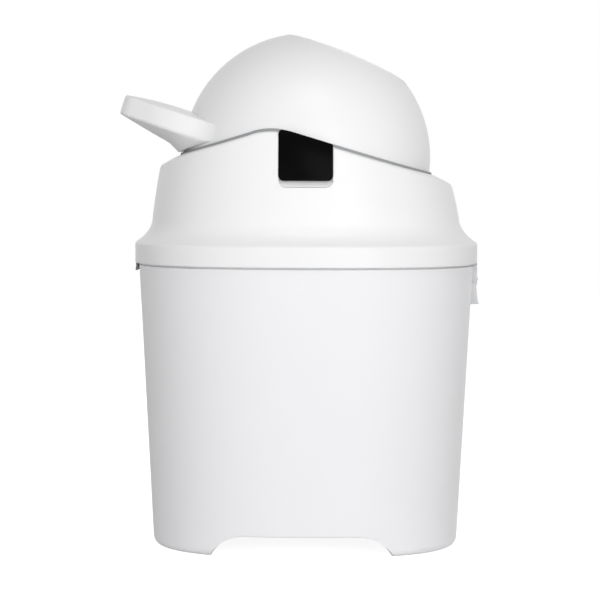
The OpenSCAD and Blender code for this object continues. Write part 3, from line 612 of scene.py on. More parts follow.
inside = [(r, INNER_Z) for r in (0.0, 60.0, 110.0, 130.0)]
inside += arc((low_w - INNER_ROUND, wall_z), INNER_ROUND, -86, -5, 9)
inside += [(low_w + (high_w - low_w) * t, wall_z + wall_rise * t) for t in np.linspace(0.01, 1, 9)]
inside += [(high_w, RIM_Z - 9), (high_w, RIM_Z - 3)]
inside += arc((high_w + 1, RIM_Z - 1), 1.0, 180, 90, 5) + arc((RIM_W - 1, RIM_Z - 1), 1.0, 90, 0, 5)
step = [(RIM_W, BIN_STEP_Z + 2)] + arc((RIM_W + 0.5, BIN_STEP_Z + 0.9), 0.5, 180, 250, 4)
step += arc((tub_half_w(BIN_STEP_Z) - 0.6, BIN_STEP_Z - 0.3), 0.6, 90, 5, 4)
outside = [(tub_half_w(z), z) for z in np.linspace(BIN_STEP_Z - 4, ARCH_REACH, 14)]
outside += [(foot_w(z), z) for z in ARCH_REACH * np.linspace(0.96, 0.2, 20) ** 1.5]
outside += [(foot_w(z) - s, z) for z, s in ((2.2, 0.0), (1.6, 0.05), (1.1, 0.2), (0.6, 0.4),
                                            (0.25, 0.7), (0.05, 1.0), (0.0, 1.5))]
skirt = [(SKIRT_W + r, z) for r, z in ((1.0, 0.0), (0.4, 0.1), (0.1, 0.4))]
skirt += [(SKIRT_W + SKIRT_LEAN * z, z) for z in (1.0, 5.0, 12.0, FLOOR_Z - 2)]
under = [(r, FLOOR_Z) for r in (139.0, 120.0, 70.0, 0.0)]
runs = ((inside + step, PLAIN), (outside, OUTSIDE), (skirt, SKIRT), (under, PLAIN))
section = [(r * MM, kind, z * MM) for run, kind in runs for r, z in run]
print("tub section:", len(section), "points")

# %% Tub rule
def tub_rule(rows, cols):
    rule = Rule("tub_skin", section="Section", Power=PLAN_POWER, Width=BIN_FOOT_W * MM, Draft=BIN_DRAFT,
                Round=FOOT_ROUND * MM, ArchHeight=ARCH_H * MM, ArchHalf=ARCH_TOP_W / 2 * MM,
                ArchFlank=ARCH_FLANK * MM, ArchShift=ARCH_SHIFT * MM, ArchPower=ARCH_POWER,
                CentreX=shift_x)
    sheet, row, col = rule.grid(rows, cols)
    read = rule.out("GeometryNodeSampleIndex", data_type="FLOAT_VECTOR", Index=row,
                    Geometry=rule.entry.outputs["Section"],
                    Value=rule.out("GeometryNodeInputPosition"))
    parts = rule.add("ShaderNodeSeparateXYZ", Vector=read).outputs
    width, kind, high = [Value(rule, part) for part in parts]

    turn = col * (2 * math.pi / (cols - 1))
    cos, sin = turn.cos(), turn.sin()
    power = rule["Power"]
    plan = 1 / (cos.abs() ** power + sin.abs() ** power) ** (1 / power)

    across = ((width * plan * cos - rule["ArchShift"]).abs() - rule["ArchHalf"]) / rule["ArchFlank"]
    arch = rule["ArchHeight"] * (1 - across.most(0.0).least(1.0) ** rule["ArchPower"])
    is_outside, is_skirt = [kind.worked("COMPARE", run, 0.1) for run in (OUTSIDE, SKIRT)]
    share = is_outside * (1 - high / (ARCH_REACH * MM)).most(0.0) \
        + is_skirt * (1 - high / (FLOOR_Z * MM)).most(0.0)
    lifted = high + arch * share

    def outline(z):
        lean = (1 - z / rule["Round"]).most(0.0)
        tuck = rule["Round"] * FOOT_TUCK * (1 - (1 - lean * lean).sqrt())
        return rule["Width"] + rule["Draft"] * z.most(rule["Round"]) - tuck

    slid = width + is_outside * (outline(lifted) - outline(high)) \
        + is_skirt * (lifted - high) * SKIRT_LEAN
    return rule.finish(rule.place(sheet, slid * plan * cos + rule["CentreX"], slid * plan * sin,
                                  lifted), tub_plastic)


tub_tree = tub_rule(rows=len(section), cols=481)

# %% Tub
LATCH_W, LATCH_HANG, LATCH_SPRING, POCKET_DEPTH = 26.0, 8.0, 4.0, 1.2
LEAF_SCREW_Z, LEAF_SCREW_Y, SCREW_BORE_R = HINGE_Z - 15.0, HINGE_L / 2 - 8, 1.65


def along_y(name, radius, low, high, x, z, segments=32):
    return rod(name, radius, (x, low, z), (x, high, z), segments)


def screw_bores(low_x, high_x, half_y, z):
    """Bores along x for a pair of screws."""
    return [rod("screw_bore", SCREW_BORE_R, (low_x, y, z), (high_x, y, z), 24)
            for y in (-half_y, half_y)]


tub = tub_tree.grow("tub", mesh=polygon_mesh("tub_section", section, []))
pocket_x = -tub_half_w(BAND_LOW) + POCKET_DEPTH
pocket = boxed("latch_pocket", (pocket_x - 3.2, -LATCH_W / 2 - 0.6, BAND_LOW - LATCH_HANG - 1),
               (pocket_x, LATCH_W / 2 + 0.6, BAND_LOW - 3))
trough = along_y("hinge_trough", KNUCKLE_R + 0.3, -HINGE_L / 2 - 1.3, HINGE_L / 2 + 1.3,
                 HINGE_X, HINGE_Z, 48)
tidy_mesh(tub.data)
cut(tub, pocket, trough, *screw_bores(148, 170, LEAF_SCREW_Y, LEAF_SCREW_Z))
book(tub, "bin", tub_plastic, "bin_body")

# %% [markdown]
# ## Lid
# The lid is a ring: a straight band over the tub's rim, a concave flare, a leaning wall,
# and a narrow two-sided roof that stops just short of the drum. The roof is a plain slope
# to each side, while wall and drum are curved, so each column of the skin finds its own
# roof edge and its own lip. That needs a small search for each column, which is plain
# arithmetic, so this skin is built point by point and not with nodes.

# %% Lid wall
WALL_SLOPE, WALL_CURVE = 0.105, 0.00085


def lid_half_w(z):
    h = z - WALL_FOOT
    return LID_FOOT_W - WALL_SLOPE * h - WALL_CURVE * h * h


def wall_w(z, ux):
    """Half width of the wall: on the hinge side it leans in a little more."""
    h = np.maximum(z - WALL_FOOT, 0)
    return lid_half_w(z) - (1.0 + 0.045 * h + 0.00095 * h * h) * np.maximum(ux, 0) ** 2


print("lid wall at the axle's height:", round(lid_half_w(AXLE_Z), 1), "mm from the middle")

# %% Lid roof
LEFT_END, RIGHT_END = -lid_half_w(AXLE_Z - 6) + 30.0, lid_half_w(AXLE_Z - 21) - 33.5
SHOULDER_LEFT, SHOULDER_RIGHT = 4.9 / 900, 4.3 / 900


def roof(x, y=0.0):
    """Height of the roof: two slopes, a rounded ridge, shoulders and a fall to both sides."""
    x = np.asarray(x, float)
    left = RIDGE_Z - (RIDGE_X - x) * math.tan(SLOPE_LEFT)
    right = RIDGE_Z - (x - RIDGE_X) * math.tan(SLOPE_RIGHT)
    arc_x = RIDGE_X - RIDGE_R * (math.sin(SLOPE_LEFT) - math.sin(SLOPE_RIGHT)) / 2
    arc_z = RIDGE_Z - RIDGE_R / math.cos((SLOPE_LEFT + SLOPE_RIGHT) / 2)
    near = np.clip((x - arc_x) / RIDGE_R, -math.sin(SLOPE_LEFT), math.sin(SLOPE_RIGHT))
    ridge = arc_z + RIDGE_R * np.sqrt(1 - near ** 2)
    on_ridge = (x > arc_x - RIDGE_R * math.sin(SLOPE_LEFT)) \
        & (x < arc_x + RIDGE_R * math.sin(SLOPE_RIGHT))
    height = np.where(on_ridge, ridge, np.minimum(left, right))
    height -= SHOULDER_LEFT * np.maximum(0, LEFT_END - x) ** 2
    height -= ROOF_FALL * (np.abs(y) / ROOF_FALL_AT) ** 1.2
    return height - SHOULDER_RIGHT * np.maximum(0, x - RIGHT_END) ** 2


print("roof's ridge:", round(float(roof(RIDGE_X)), 1), "mm up")

# %% Lid columns
def barrel_share(x, y, z, grow):
    """1 on the drum's skin grown by a margin, less inside, more outside."""
    across = np.hypot(x, z - AXLE_Z) / (DRUM_R + grow)
    return across ** DRUM_POWER + (np.abs(y) / (DRUM_W + grow)) ** DRUM_POWER


def plan_unit(cols):
    """Directions round the plan, each as long as the plan is wide there."""
    turn = np.arange(cols) * 2 * math.pi / cols
    c, s = np.cos(turn), np.sin(turn)
    reach = (np.abs(c) ** PLAN_POWER + np.abs(s) ** PLAN_POWER) ** (-1 / PLAN_POWER)
    return reach * c, reach * s


def lip_width(ux, uy, height, grow=DRUM_GAP):
    """Half width at which a column meets the drum's gap."""
    return halved(np.full(ux.shape, 40.0), np.full(ux.shape, 150.0), lambda mid: barrel_share(
        mid * ux, mid * uy, height(mid * ux, mid * uy), grow) > 1)[1]


# %% Lid rows
def lid_rows(cols):
    ux, uy = plan_unit(cols)
    rows = []

    def add(width, height):
        rows.append(laid(ux, uy, width, height))

    def roof_at(width, drop=0.0):
        return roof(width * ux, width * uy) - drop

    def lip_at(drop):
        return lip_width(ux, uy, lambda x, y: roof(x, y) - drop)

    top = np.full(cols, 350.0)
    for _ in range(30):
        top = roof_at(wall_w(top, ux))
    edge = 2.6
    corner_w, wall_end = wall_w(top, ux), top - edge
    roof_w, lip = corner_w - edge, lip_at(0.0)
    # outside: band, flare, wall
    band = arc((BAND_W - 0.7, BAND_LOW + 0.7), 0.7, -90, 0, 5)
    band += [(BAND_W, z) for z in np.linspace(BAND_LOW + 2, BAND_HIGH - 1.5, 6)]
    band += arc((BAND_W - 2.4, BAND_HIGH + 1.0), 2.4, 0, 52, 7)
    for width, height in band:
        add(width, height)
    start_z = WALL_FOOT + 1
    for t in np.linspace(0, 1, 20):
        add(bend(BAND_W - 0.98, LID_FOOT_W + 1.9, wall_w(start_z, ux), t),
            bend(BAND_HIGH + 3.0, WALL_FOOT - 10.4, start_z, t))
    for t in np.linspace(0, 1, 22)[1:]:
        height = start_z + (wall_end - start_z) * t
        add(wall_w(height, ux), height)
    # rounded roof edge, roof, lip
    for t in np.linspace(0, 1, 8)[1:]:
        add(bend(wall_w(wall_end, ux), corner_w, roof_w, t),
            bend(wall_end, top, roof_at(roof_w), t))
    for t in np.linspace(0, 1, 9)[1:]:
        width = roof_w + (lip + 0.9 - roof_w) * t
        add(width, roof_at(width))
    for drop, back in ((0.1, 0.45), (0.35, 0.15), (0.9, 0.0), (1.8, 0.0), (LID_WALL, 0.0)):
        add(lip_at(drop) + back, roof_at(lip, drop))
    # inside: under the roof, inner wall, ledge over the rim, band
    inner_top = top - LID_WALL - 1.0
    start = lip_at(LID_WALL)
    for t in (0.35, 0.7, 1.0):
        width = start + (wall_w(inner_top, ux) - LID_WALL - start) * t
        add(width, roof_at(width, LID_WALL))
    for t in np.linspace(0, 1, 9)[1:]:
        height = inner_top - 2 + (WALL_FOOT - 6 - inner_top + 2) * t
        add(wall_w(height, ux) - LID_WALL, height)
    inner = BAND_W - BAND_WALL
    for width, height in ((LID_FOOT_W + 0.6, WALL_FOOT - 16), (LID_FOOT_W + 3, LEDGE_Z + 1),
                          (LID_FOOT_W + 3.4, LEDGE_Z), (inner - 0.4, LEDGE_Z),
                          (inner, LEDGE_Z - 0.4), (inner, BAND_LOW + 6),
                          (inner, BAND_LOW + 0.5), (inner + 0.5, BAND_LOW)):
        add(width, height)
    return np.array(rows)


lid_grid = lid_rows(480)
print("lid rows and columns:", lid_grid.shape[:2])

# %% [markdown]
# The plate's place on the front wall is a shallow U-shaped recess, open at the roof. Below
# the plate it falls away inwards, so that a fingertip can lift the plate off the axle pin,
# and a fine groove marks the edge of this scoop. A pad behind the wall keeps it thick there.
# All are worked into the finished skin with exact Booleans, as are the window of the
# latch, the seat of the hinge leaf and the seats of the two axle pins.

# %% Lid
PLATE_W, PLATE_LOW, PLATE_CORNER, PLATE_SHIFT, RECESS = 49.6, AXLE_Z - 21, 5.0, 1.0, 2.0
SCOOP_LOW, SCOOP_HIGH, SCOOP_DEPTH = PLATE_LOW - 6.5, PLATE_LOW + 2.5, 7.4
LEAF_SEAT, LEAF_TOP = 1.6, BAND_HIGH - 1.5
HEAD_R, HEAD_T, PIN_BORE_R = 10.0, 1.6, 7.1
WALL_LEAN = math.atan(WALL_SLOPE + 2 * WALL_CURVE * (AXLE_Z - WALL_FOOT))


def on_front(points):
    """From (across, out of the wall, height) at the plate to the bin's own axes."""
    points = np.asarray(points, float)
    y, z = leaned(-points[..., 1], points[..., 2] - AXLE_Z, WALL_LEAN)
    return np.stack([points[..., 0] - PLATE_SHIFT, y - lid_half_w(AXLE_Z), z + AXLE_Z], -1)


def u_outline(grow, low, high, corner, steps=8):
    half = PLATE_W / 2 + grow
    left = [(-half + corner - corner * math.sin(a), low + corner - corner * math.cos(a))
            for a in np.linspace(0, math.pi / 2, steps)]
    return np.array([(-half, high)] + left[::-1] + [(-x, z) for x, z in left] + [(half, high)])


def slab(name, outline, back, front):
    """A block on the front wall, between two depths out of it; back may differ by point."""
    across, up = outline.T
    ends = [np.stack([across, np.broadcast_to(depth, across.shape), up], 1)
            for depth in (back, front)]
    return linked(name, closed(grid_mesh(name, on_front(ends))))


lid = add_piece("lid_skin", grid_mesh("lid_skin", lid_grid, wrap_rows=True))
window = boxed("latch_window", (-BAND_W - 1, -LATCH_W / 2 - 0.4, BAND_LOW - 1),
               (-BAND_W + BAND_WALL + 1, LATCH_W / 2 + 0.4 + LATCH_SPRING, BAND_LOW + 12.5))
leaf_seat = boxed("leaf_seat", (BAND_W - LEAF_SEAT, -HINGE_L / 4, BAND_LOW - 1),
                  (BAND_W + LEAF_SEAT, HINGE_L / 4, LEAF_TOP + 0.3))
recess = slab("plate_recess", u_outline(0.5, PLATE_LOW, 440.0, PLATE_CORNER), -RECESS, 8.0)
groove = slab("scoop_groove", np.concatenate([
    u_outline(0.5, SCOOP_LOW, PLATE_LOW + 1.0, 7.5),
    u_outline(-0.5, SCOOP_LOW + 1.0, PLATE_LOW + 1.0, 6.5)[::-1]]), -4.4, 7.0)
scoop_line = u_outline(-0.3, SCOOP_LOW + 0.8, SCOOP_HIGH, 6.7)
scoop = slab("finger_scoop", scoop_line, np.interp(
    scoop_line[:, 1], (SCOOP_LOW, SCOOP_HIGH), (-1.6, -SCOOP_DEPTH)), 8.0)
seats = []
for side, sunk in ((-1, RECESS), (1, 0.0)):
    head_y = lid_half_w(AXLE_Z + HEAD_R) - HEAD_T - 0.3 - sunk
    for name, radius, from_y in (("head_seat", HEAD_R + 0.2, head_y), ("pin_bore", PIN_BORE_R, 128)):
        seats.append(rod(name, radius, (0, side * from_y, AXLE_Z), (0, side * 150, AXLE_Z)))
joined(lid, slab("scoop_pad", u_outline(2.5, SCOOP_LOW - 2.5, PLATE_LOW + 5.0, 8.0), -8.4, -2.0))
cut(lid, window, leaf_seat, recess, groove, scoop, *seats)
book(lid, "lid", lid_plastic, "lid_shell")

# %% [markdown]
# ## Mouth rings
# A ring caps each end of the well. Its outer skirt goes over the tube, its lip stops the
# piston, and its face follows the barrel, standing a hair proud so that the joint reads
# as a fine line. The mouth is a funnel with a rolled edge, so that nothing snags on it.
# Every column climbs to the height that the barrel has there.

# %% Mouth rings
FUNNEL_R = (MOUTH_FREE_R, MOUTH_EDGE_R, MOUTH_EDGE_R + 2)
FUNNEL_UP = (WELL_HALF_L + 1, WELL_HALF_L + 6.5, WELL_HALF_L + 12)


def funnel(up):
    """Radius of the funnel at a height along the well."""
    return np.interp(up, FUNNEL_UP, FUNNEL_R)


def ring_grid(cols, stand=0.2, roll=2.4):
    turn = np.arange(cols) * 2 * math.pi / cols
    ux, uy = np.cos(turn), np.sin(turn)
    rows = []

    def add(distance, up):
        rows.append(laid(ux, uy, distance, up))

    def face(distance):
        return drum_reach(distance * uy, distance * ux, stand)

    skirt, tube = WELL_HALF_L - 10.0, WELL_OUT_R + 0.05
    for distance, up in ((tube, skirt), (MOUTH_R, skirt), (MOUTH_R, skirt + 6)):
        add(distance, up)
    for back, drop in ((0.0, 0.7), (0.15, 0.25), (0.5, 0.0)):
        add(MOUTH_R - back, face(MOUTH_R - back) - drop)
    # where the funnel comes out of the barrel
    edge = np.full(cols, MOUTH_EDGE_R)
    for _ in range(12):
        edge = funnel(face(edge))
    up = face(edge)
    top = np.minimum(edge + roll, MOUTH_R - 0.8)
    foot_up = up - 0.8 * roll
    for t in (0.4, 1.0):
        distance = MOUTH_R - 0.5 + (top - MOUTH_R + 0.5) * t
        add(distance, face(distance))
    for t in np.linspace(0, 1, 9)[1:]:
        add(bend(top, edge, funnel(foot_up), t), bend(face(top), up, foot_up, t))
    for t in (0.3, 0.6, 0.9):
        down = foot_up + (WELL_HALF_L + 1 - foot_up) * t
        add(funnel(down), down)
    for distance, rise in ((MOUTH_FREE_R + 0.1, 0.8), (MOUTH_FREE_R, 0.3), (MOUTH_FREE_R, 0.0),
                           (tube, 0.0)):
        add(distance, WELL_HALF_L + rise)
    return np.array(rows)


def from_well(points, flip=1):
    """From the well's axes to the bin's. flip -1 is the mouth at the other end."""
    x, z = leaned(points[..., 0] * flip, points[..., 2] * flip, WELL_LEAN)
    return np.stack([x, points[..., 1], z + AXLE_Z], -1)


for letter, flip in (("a", 1), ("b", -1)):
    name = f"mouth_rim_{letter}"
    ring = add_piece(name, grid_mesh(name, from_well(ring_grid(192), flip), wrap_rows=True))
    book(ring, "drum", lid_plastic, f"mouth_ring_{letter}")

# %% [markdown]
# ## Wiping strip
# A soft grey strip sits in the gap between roof and drum and stands a little above the
# roof, so that the drum wipes itself clean as it turns. Its grey is also painted shade: it
# stands in for the shade down in that gap, as a dark line along the roof's edge. It has the
# lid's own columns: one wall a hair off the barrel, the other just inside the lip of the roof.

# %% Wiping strip
STRIP_DEPTH, STRIP_GAP = 6.0, 0.6
STRIP_BACK = DRUM_GAP - 0.3


def strip_grid(cols):
    ux, uy = plan_unit(cols)
    rows = []
    for grow, rise in ((STRIP_BACK, -STRIP_DEPTH), (STRIP_GAP, -STRIP_DEPTH), (STRIP_GAP, -2.0),
                       (STRIP_GAP, 1.2), (STRIP_GAP + 0.2, 1.7), (STRIP_GAP + 0.7, 1.8),
                       (STRIP_BACK - 0.5, 1.7), (STRIP_BACK - 0.05, 1.2), (STRIP_BACK, -2.0)):
        def height(x, y):
            return roof(x, y) + rise * (1 + (rise > 0) * 0.5 * (y / 120) ** 2)

        width = lip_width(ux, uy, height, grow)
        rows.append(laid(ux, uy, width, height(width * ux, width * uy)))
    return np.array(rows)


strip = add_piece("wiping_strip", grid_mesh("wiping_strip", strip_grid(480), wrap_rows=True))
# its grey is partly a painted shade line along the roof's edge
book(strip, "lid", strip_rubber, "drum_seal")

# %% [markdown]
# ## Handle
# The handle is a crowned visor: an edge of even height that runs straight out of the drum,
# narrows to a blunt tip, and carries a low crown on top and a belly underneath. Crown and
# belly are two mouldings that meet at the lower edge of the rim. Both are laid out on the
# same plan, so the plan is drawn first, as the hull of the tip's two corners, a broad nose
# and the drum.

# %% Handle plan
TIP_R, TIP_P, TIP_Q, NOSE_R, NOSE_P = 24.0, 155.0, 26.0, 75.0, 106.0
PLAN_ROOT_P, DRUM_SIDE_P = 25.0, 112.0


def hull(points):
    """Corners of the smallest convex outline round the points, counterclockwise."""
    points = sorted(set(map(tuple, np.round(points, 6))))

    def chain(order):
        line = []
        for p in order:
            while len(line) > 1 and (line[-1][0] - line[-2][0]) * (p[1] - line[-2][1]) \
                    <= (line[-1][1] - line[-2][1]) * (p[0] - line[-2][0]):
                line.pop()
            line.append(p)
        return line[:-1]

    return np.array(chain(points) + chain(points[::-1]))


def drum_p(q, v=0.0, grow=0.02):
    """How far the drum reaches along the handle, at q across and v above its plane."""
    return drum_reach(q, v, grow)


def handle_outline():
    turns = np.linspace(0, 2 * math.pi, 721)
    circle = np.stack([np.cos(turns), np.sin(turns)], 1)
    widest = np.linspace(-DRUM_W, DRUM_W, 801)
    belt = np.stack([drum_p(widest, grow=0.0), widest], 1)
    root = [(PLAN_ROOT_P, -HANDLE_ROOT_W), (PLAN_ROOT_P, HANDLE_ROOT_W)]
    line = hull(np.concatenate([circle * TIP_R + (TIP_P, TIP_Q), circle * TIP_R + (TIP_P, -TIP_Q),
                                circle * NOSE_R + (NOSE_P, 0),
                                belt[np.abs(belt[:, 1]) < HANDLE_ROOT_W], root]))
    line = line[line[:, 0] > PLAN_ROOT_P - 3]
    return line[np.argsort(np.arctan2(line[:, 1], line[:, 0] - 10))]


def along_outline(outline, count):
    """Points spread evenly along the plan's outline."""
    steps = np.concatenate([[0], np.cumsum(np.hypot(*np.diff(outline, axis=0).T))])
    spots = np.linspace(0, steps[-1], count)
    p, q = [np.interp(spots, steps, outline[:, i]) for i in (0, 1)]
    for _ in range(3):               # soften where arcs meet straight runs
        for line in (p, q):
            line[1:-1] = (line[:-2] + 2 * line[1:-1] + line[2:]) / 4
    return np.stack([p, q], 1)


# %% Handle columns
def from_handle(p, q, v):
    """From the handle's axes to the bin's."""
    x, z = leaned(-p, v, HANDLE_RISE)
    return np.stack([x, q + 0 * p, z + AXLE_Z], -1)


def roof_clear(p, v):
    """Lowest v that keeps the running gap above the roof."""
    low = np.array(v, float)
    for _ in range(4):
        x, z = leaned(-p, low, HANDLE_RISE)
        low = np.maximum(v, low + (roof(x) + DRUM_GAP - AXLE_Z - z) / math.cos(HANDLE_RISE))
    return low


def root_fillet(last, side, spread=13.0, count=14):
    """Where a side of the handle swings out and runs along the drum."""
    t = np.linspace(0, 1, count)[1:]
    lean = (HANDLE_ROOT_W - abs(last[1])) / (last[0] - PLAN_ROOT_P)
    knee_p = float(drum_p(HANDLE_ROOT_W - 1.0)) + 0.5
    knee_q, q = abs(last[1]) + lean * (last[0] - knee_p), HANDLE_ROOT_W + spread
    p = bend(last[0], knee_p, float(drum_p(q)) + 0.15, t)
    return np.stack([p, side * bend(abs(last[1]), knee_q, q, t), t ** 2], 1)


free_edge = along_outline(handle_outline(), 321)
free_edge = free_edge[free_edge[:, 0] > DRUM_SIDE_P]
columns = np.concatenate([root_fillet(free_edge[0], -1)[::-1],
                          np.pad(free_edge, ((0, 0), (0, 1))), root_fillet(free_edge[-1], 1)])
edge_pts, hug = columns[:, :2], columns[:, 2]
ahead = np.stack([np.gradient(edge_pts[:, 0]), np.gradient(edge_pts[:, 1])], 1)
ahead /= np.linalg.norm(ahead, axis=1)[:, None]
edge_in = np.stack([-ahead[:, 1], ahead[:, 0]], 1)
print("outline of the handle:", len(edge_pts), "columns, from", edge_pts[0], "to", edge_pts[-1])

# %% [markdown]
# Each column now runs from the rim inwards to the drum. The height over the rim grows with
# the distance from the outline, quickly at first and then levelling out, which is what
# gives a moulded crown its even highlight.

# %% Handle rows
RIM_ROUND = 2.6                      # rounding of the rim's upper edge


def levelled(distance, run):
    """Grows from 0 to 1, quickly at first, and stays there after a run."""
    return 1 - (1 - np.minimum(distance / run, 1)) ** 2


def swell(points, run):
    """How far the crown or the belly has grown, by the distance from the outline."""
    gap = np.hypot(points[:, 0, None] - edge_pts[:, 0], points[:, 1, None] - edge_pts[:, 1])
    return levelled(gap.min(axis=1), run)


def rim_at(v):
    """The outline at height v. The fillets of the root lean with the drum."""
    lean = drum_p(edge_pts[:, 1]) - drum_p(edge_pts[:, 1], v)
    return edge_pts - np.stack([hug * lean, 0 * lean], 1)


def inward(count, v):
    """Points from the rim's inner side to the drum at height v, as rows."""
    rim = rim_at(v)
    width = rim[:, 0] - drum_p(rim[:, 1], v)
    rounding = np.clip(0.5 * width, 0.05, RIM_ROUND)
    start = rim + edge_in * rounding[:, None]
    way = np.array([45.0, 0.0]) - start

    def in_drum(mid):
        spot = start + way * mid[:, None]
        return spot[:, 0] < drum_p(spot[:, 1], v)

    end = halved(np.zeros(len(start)), np.ones(len(start)), in_drum)[0]
    share = np.linspace(0, 1, count)[:, None, None]
    return start + way * end[:, None] * share, rounding


class Skin:
    """Rows of a handle moulding, kept clear of the roof."""

    def __init__(self):
        self.lines = []

    def add(self, points, v):
        p, q = points[:, 0], points[:, 1]
        self.lines.append(from_handle(p, q, roof_clear(p, np.broadcast_to(v, p.shape))))


# %% Handle top
CROWN, CROWN_RUN, LOW_ROUND = 4.4, 52.0, 0.6


def handle_top_grid(rows=16):
    top, rounding = inward(rows, SLAB_HIGH)
    bottom, _ = inward(6, SLAB_LOW)
    skin = Skin()
    for row in top[::-1]:
        skin.add(row, SLAB_HIGH + CROWN * swell(row, CROWN_RUN))
    base = CROWN * levelled(rounding, CROWN_RUN)
    for t in np.radians((20, 40, 60, 80)):
        skin.add(rim_at(SLAB_HIGH) + edge_in * (rounding * (1 - math.sin(t)))[:, None],
                 SLAB_HIGH + base * (1 - math.sin(t)) - rounding * (1 - math.cos(t)))
    for v in np.linspace(SLAB_HIGH - 2.8, SLAB_LOW + 0.9, 6):
        skin.add(rim_at(v), np.minimum(v, SLAB_HIGH - rounding))
    for t in np.radians((30, 60, 90)):
        skin.add(rim_at(SLAB_LOW) + edge_in * LOW_ROUND * (1 - math.cos(t)),
                 SLAB_LOW + LOW_ROUND * (1 - math.sin(t)))
    for row in bottom:
        skin.add(row, SLAB_LOW)
    for v in np.linspace(SLAB_LOW, SLAB_HIGH, 6)[1:-1]:
        skin.add(inward(2, v)[0][-1], v)
    return np.array(skin.lines)


# %% Handle underside
BELLY_TOP = SLAB_LOW - 0.9           # a fine line is left between the two mouldings
BELLY_RUN = 60.0
BELLY = ((60, 22), (110, 20), (114, 18.6), (118, 16.4), (122, 14.4), (126, 12.2), (132, 10.9),
         (149, 9.0), (165, 7.6), (185, 6.0))


def belly(points):
    """Depth of the underside below the rim's lower edge."""
    return np.interp(points[:, 0], *zip(*BELLY)) * swell(points, BELLY_RUN)


def fairing_grid(rows=22):
    under, _ = inward(rows, SLAB_LOW - 8)
    level, _ = inward(4, SLAB_LOW)
    skin = Skin()
    for back, drop in ((0.5, 0.05), (0.3, 0.4), (0.5, 0.8)):
        skin.add(edge_pts + edge_in * back, SLAB_LOW - drop)
    for row in under:
        skin.add(row, BELLY_TOP - belly(row))
    for t in (0.66, 0.33):
        skin.add(under[-1] + (level[-1] - under[-1]) * (1 - t), BELLY_TOP - t * belly(under[-1]))
    for row in level[::-1][:-1]:     # the top lies in the visor, and clear of the underside
        lowest = roof_clear(row[:, 0], np.full(len(row), BELLY_TOP))
        skin.add(row, np.maximum(SLAB_LOW - 0.05, lowest + 0.4))
    lowest = roof_clear(edge_pts[:, 0], np.full(len(edge_pts), BELLY_TOP))
    return np.array(skin.lines)[:, lowest < SLAB_LOW - 0.6]


# %% Handle
for name, grid, node in (("handle_visor", handle_top_grid(), "handle_top"),
                         ("handle_belly", fairing_grid(), "handle_fairing")):
    piece = add_piece(name, grid_mesh(name, grid, wrap_rows=True, wrap_cols=False,
                                      cap_cols=True), crease_deg=40.0)
    book(piece, "drum", lid_plastic, node)

# %% [markdown]
# ## Plate, hinge and latch
# These are flat mouldings: a profile drawn once and given a width. Solid blocks are joined
# with exact Booleans first, and one narrow bevel runs over all edges last, so that the
# light finds an edge wherever two faces meet.

# %% Plate
PLATE_T, PLATE_RISE = 1.6, 3.5


def plate_outline(out):
    """Outline of the plate at a depth: U below, and the roof's slope above."""
    half, c, s = PLATE_W / 2, math.cos(WALL_LEAN), math.sin(WALL_LEAN)

    def top(across):
        edge = roof(across - PLATE_SHIFT, ROOF_FALL_AT) + PLATE_RISE
        return float(AXLE_Z + (edge - AXLE_Z + out * s) / c)

    right, left, corner = top(half) - 1.6, top(-half) - 4.0, 4.0
    line = u_outline(0.0, PLATE_LOW, left, PLATE_CORNER, 12)[1:-1]
    line = [*line, (half, right), (half - 0.4, top(half) - 0.3), (half - 1.6, top(half - 1.6))]
    line += [(x, top(x)) for x in np.linspace(half - 4, -half + 6, 9)]
    line += [(-half + corner - corner * math.cos(a), left + corner * math.sin(a) * 0.93)
             for a in np.radians((68, 46, 23, 0))]
    return np.array(line)


plate = slab("cover_plate", plate_outline(PLATE_T / 2 - RECESS), -RECESS, PLATE_T - RECESS)
book(bevelled(plate, 0.3, 3), "lid", plate_gloss, "axle_plate")


# %% Hinge
def extruded(name, profile, half_w):
    """A profile of (x, z) points, given a width to both sides of the middle plane."""
    ends = [[(x, y, z) for x, z in profile] for y in (-half_w, half_w)]
    return linked(name, closed(grid_mesh(name, ends)))


PIN_BORE, PIN_END, CAP_T = 1.725, HINGE_L / 2 + 0.55, 1.0
SUNK, WEB_TOP, STRAP_HALF = 1.4, BAND_LOW - 0.9, HINGE_L / 4 - 0.3
STRAP_SCREW_Y, STRAP_SCREW_Z = 8.0, BAND_LOW + 8
foot_z, step_z = HINGE_Z - 24.0, HINGE_Z - KNUCKLE_R - 1.8
flare_line = [(HINGE_X + KNUCKLE_R * (0.5 + 0.5 * t) + 0.9 * max(0, t * 2 - 1) ** 2,
               step_z + (foot_z - step_z) * t) for t in np.linspace(0, 1, 13)]
base = extruded("hinge_base", [(tub_half_w(z) - SUNK, z) for z in (foot_z, step_z)] + flare_line,
                HINGE_L / 2)
for side in (-1, 1):
    web_low, web_high = sorted((side * (HINGE_L / 4 + 0.02), side * (HINGE_L / 2 - 0.02)))
    low, high = sorted((side * HINGE_L / 4, side * (HINGE_L / 2 + CAP_T)))
    joined(base, boxed("knuckle_web", (HINGE_X - 3.0, web_low, step_z - 0.5),
                       (HINGE_X + 2.4, web_high, WEB_TOP)),
           along_y("knuckle", KNUCKLE_R, low, high, HINGE_X, HINGE_Z))
cut(base, along_y("pin_bore", PIN_BORE, -PIN_END, PIN_END, HINGE_X, HINGE_Z),
    *screw_bores(150, 160.3, LEAF_SCREW_Y, LEAF_SCREW_Z))
book(bevelled(base, 0.25), "bin", hinge_plastic, "hinge_leaf_lower")

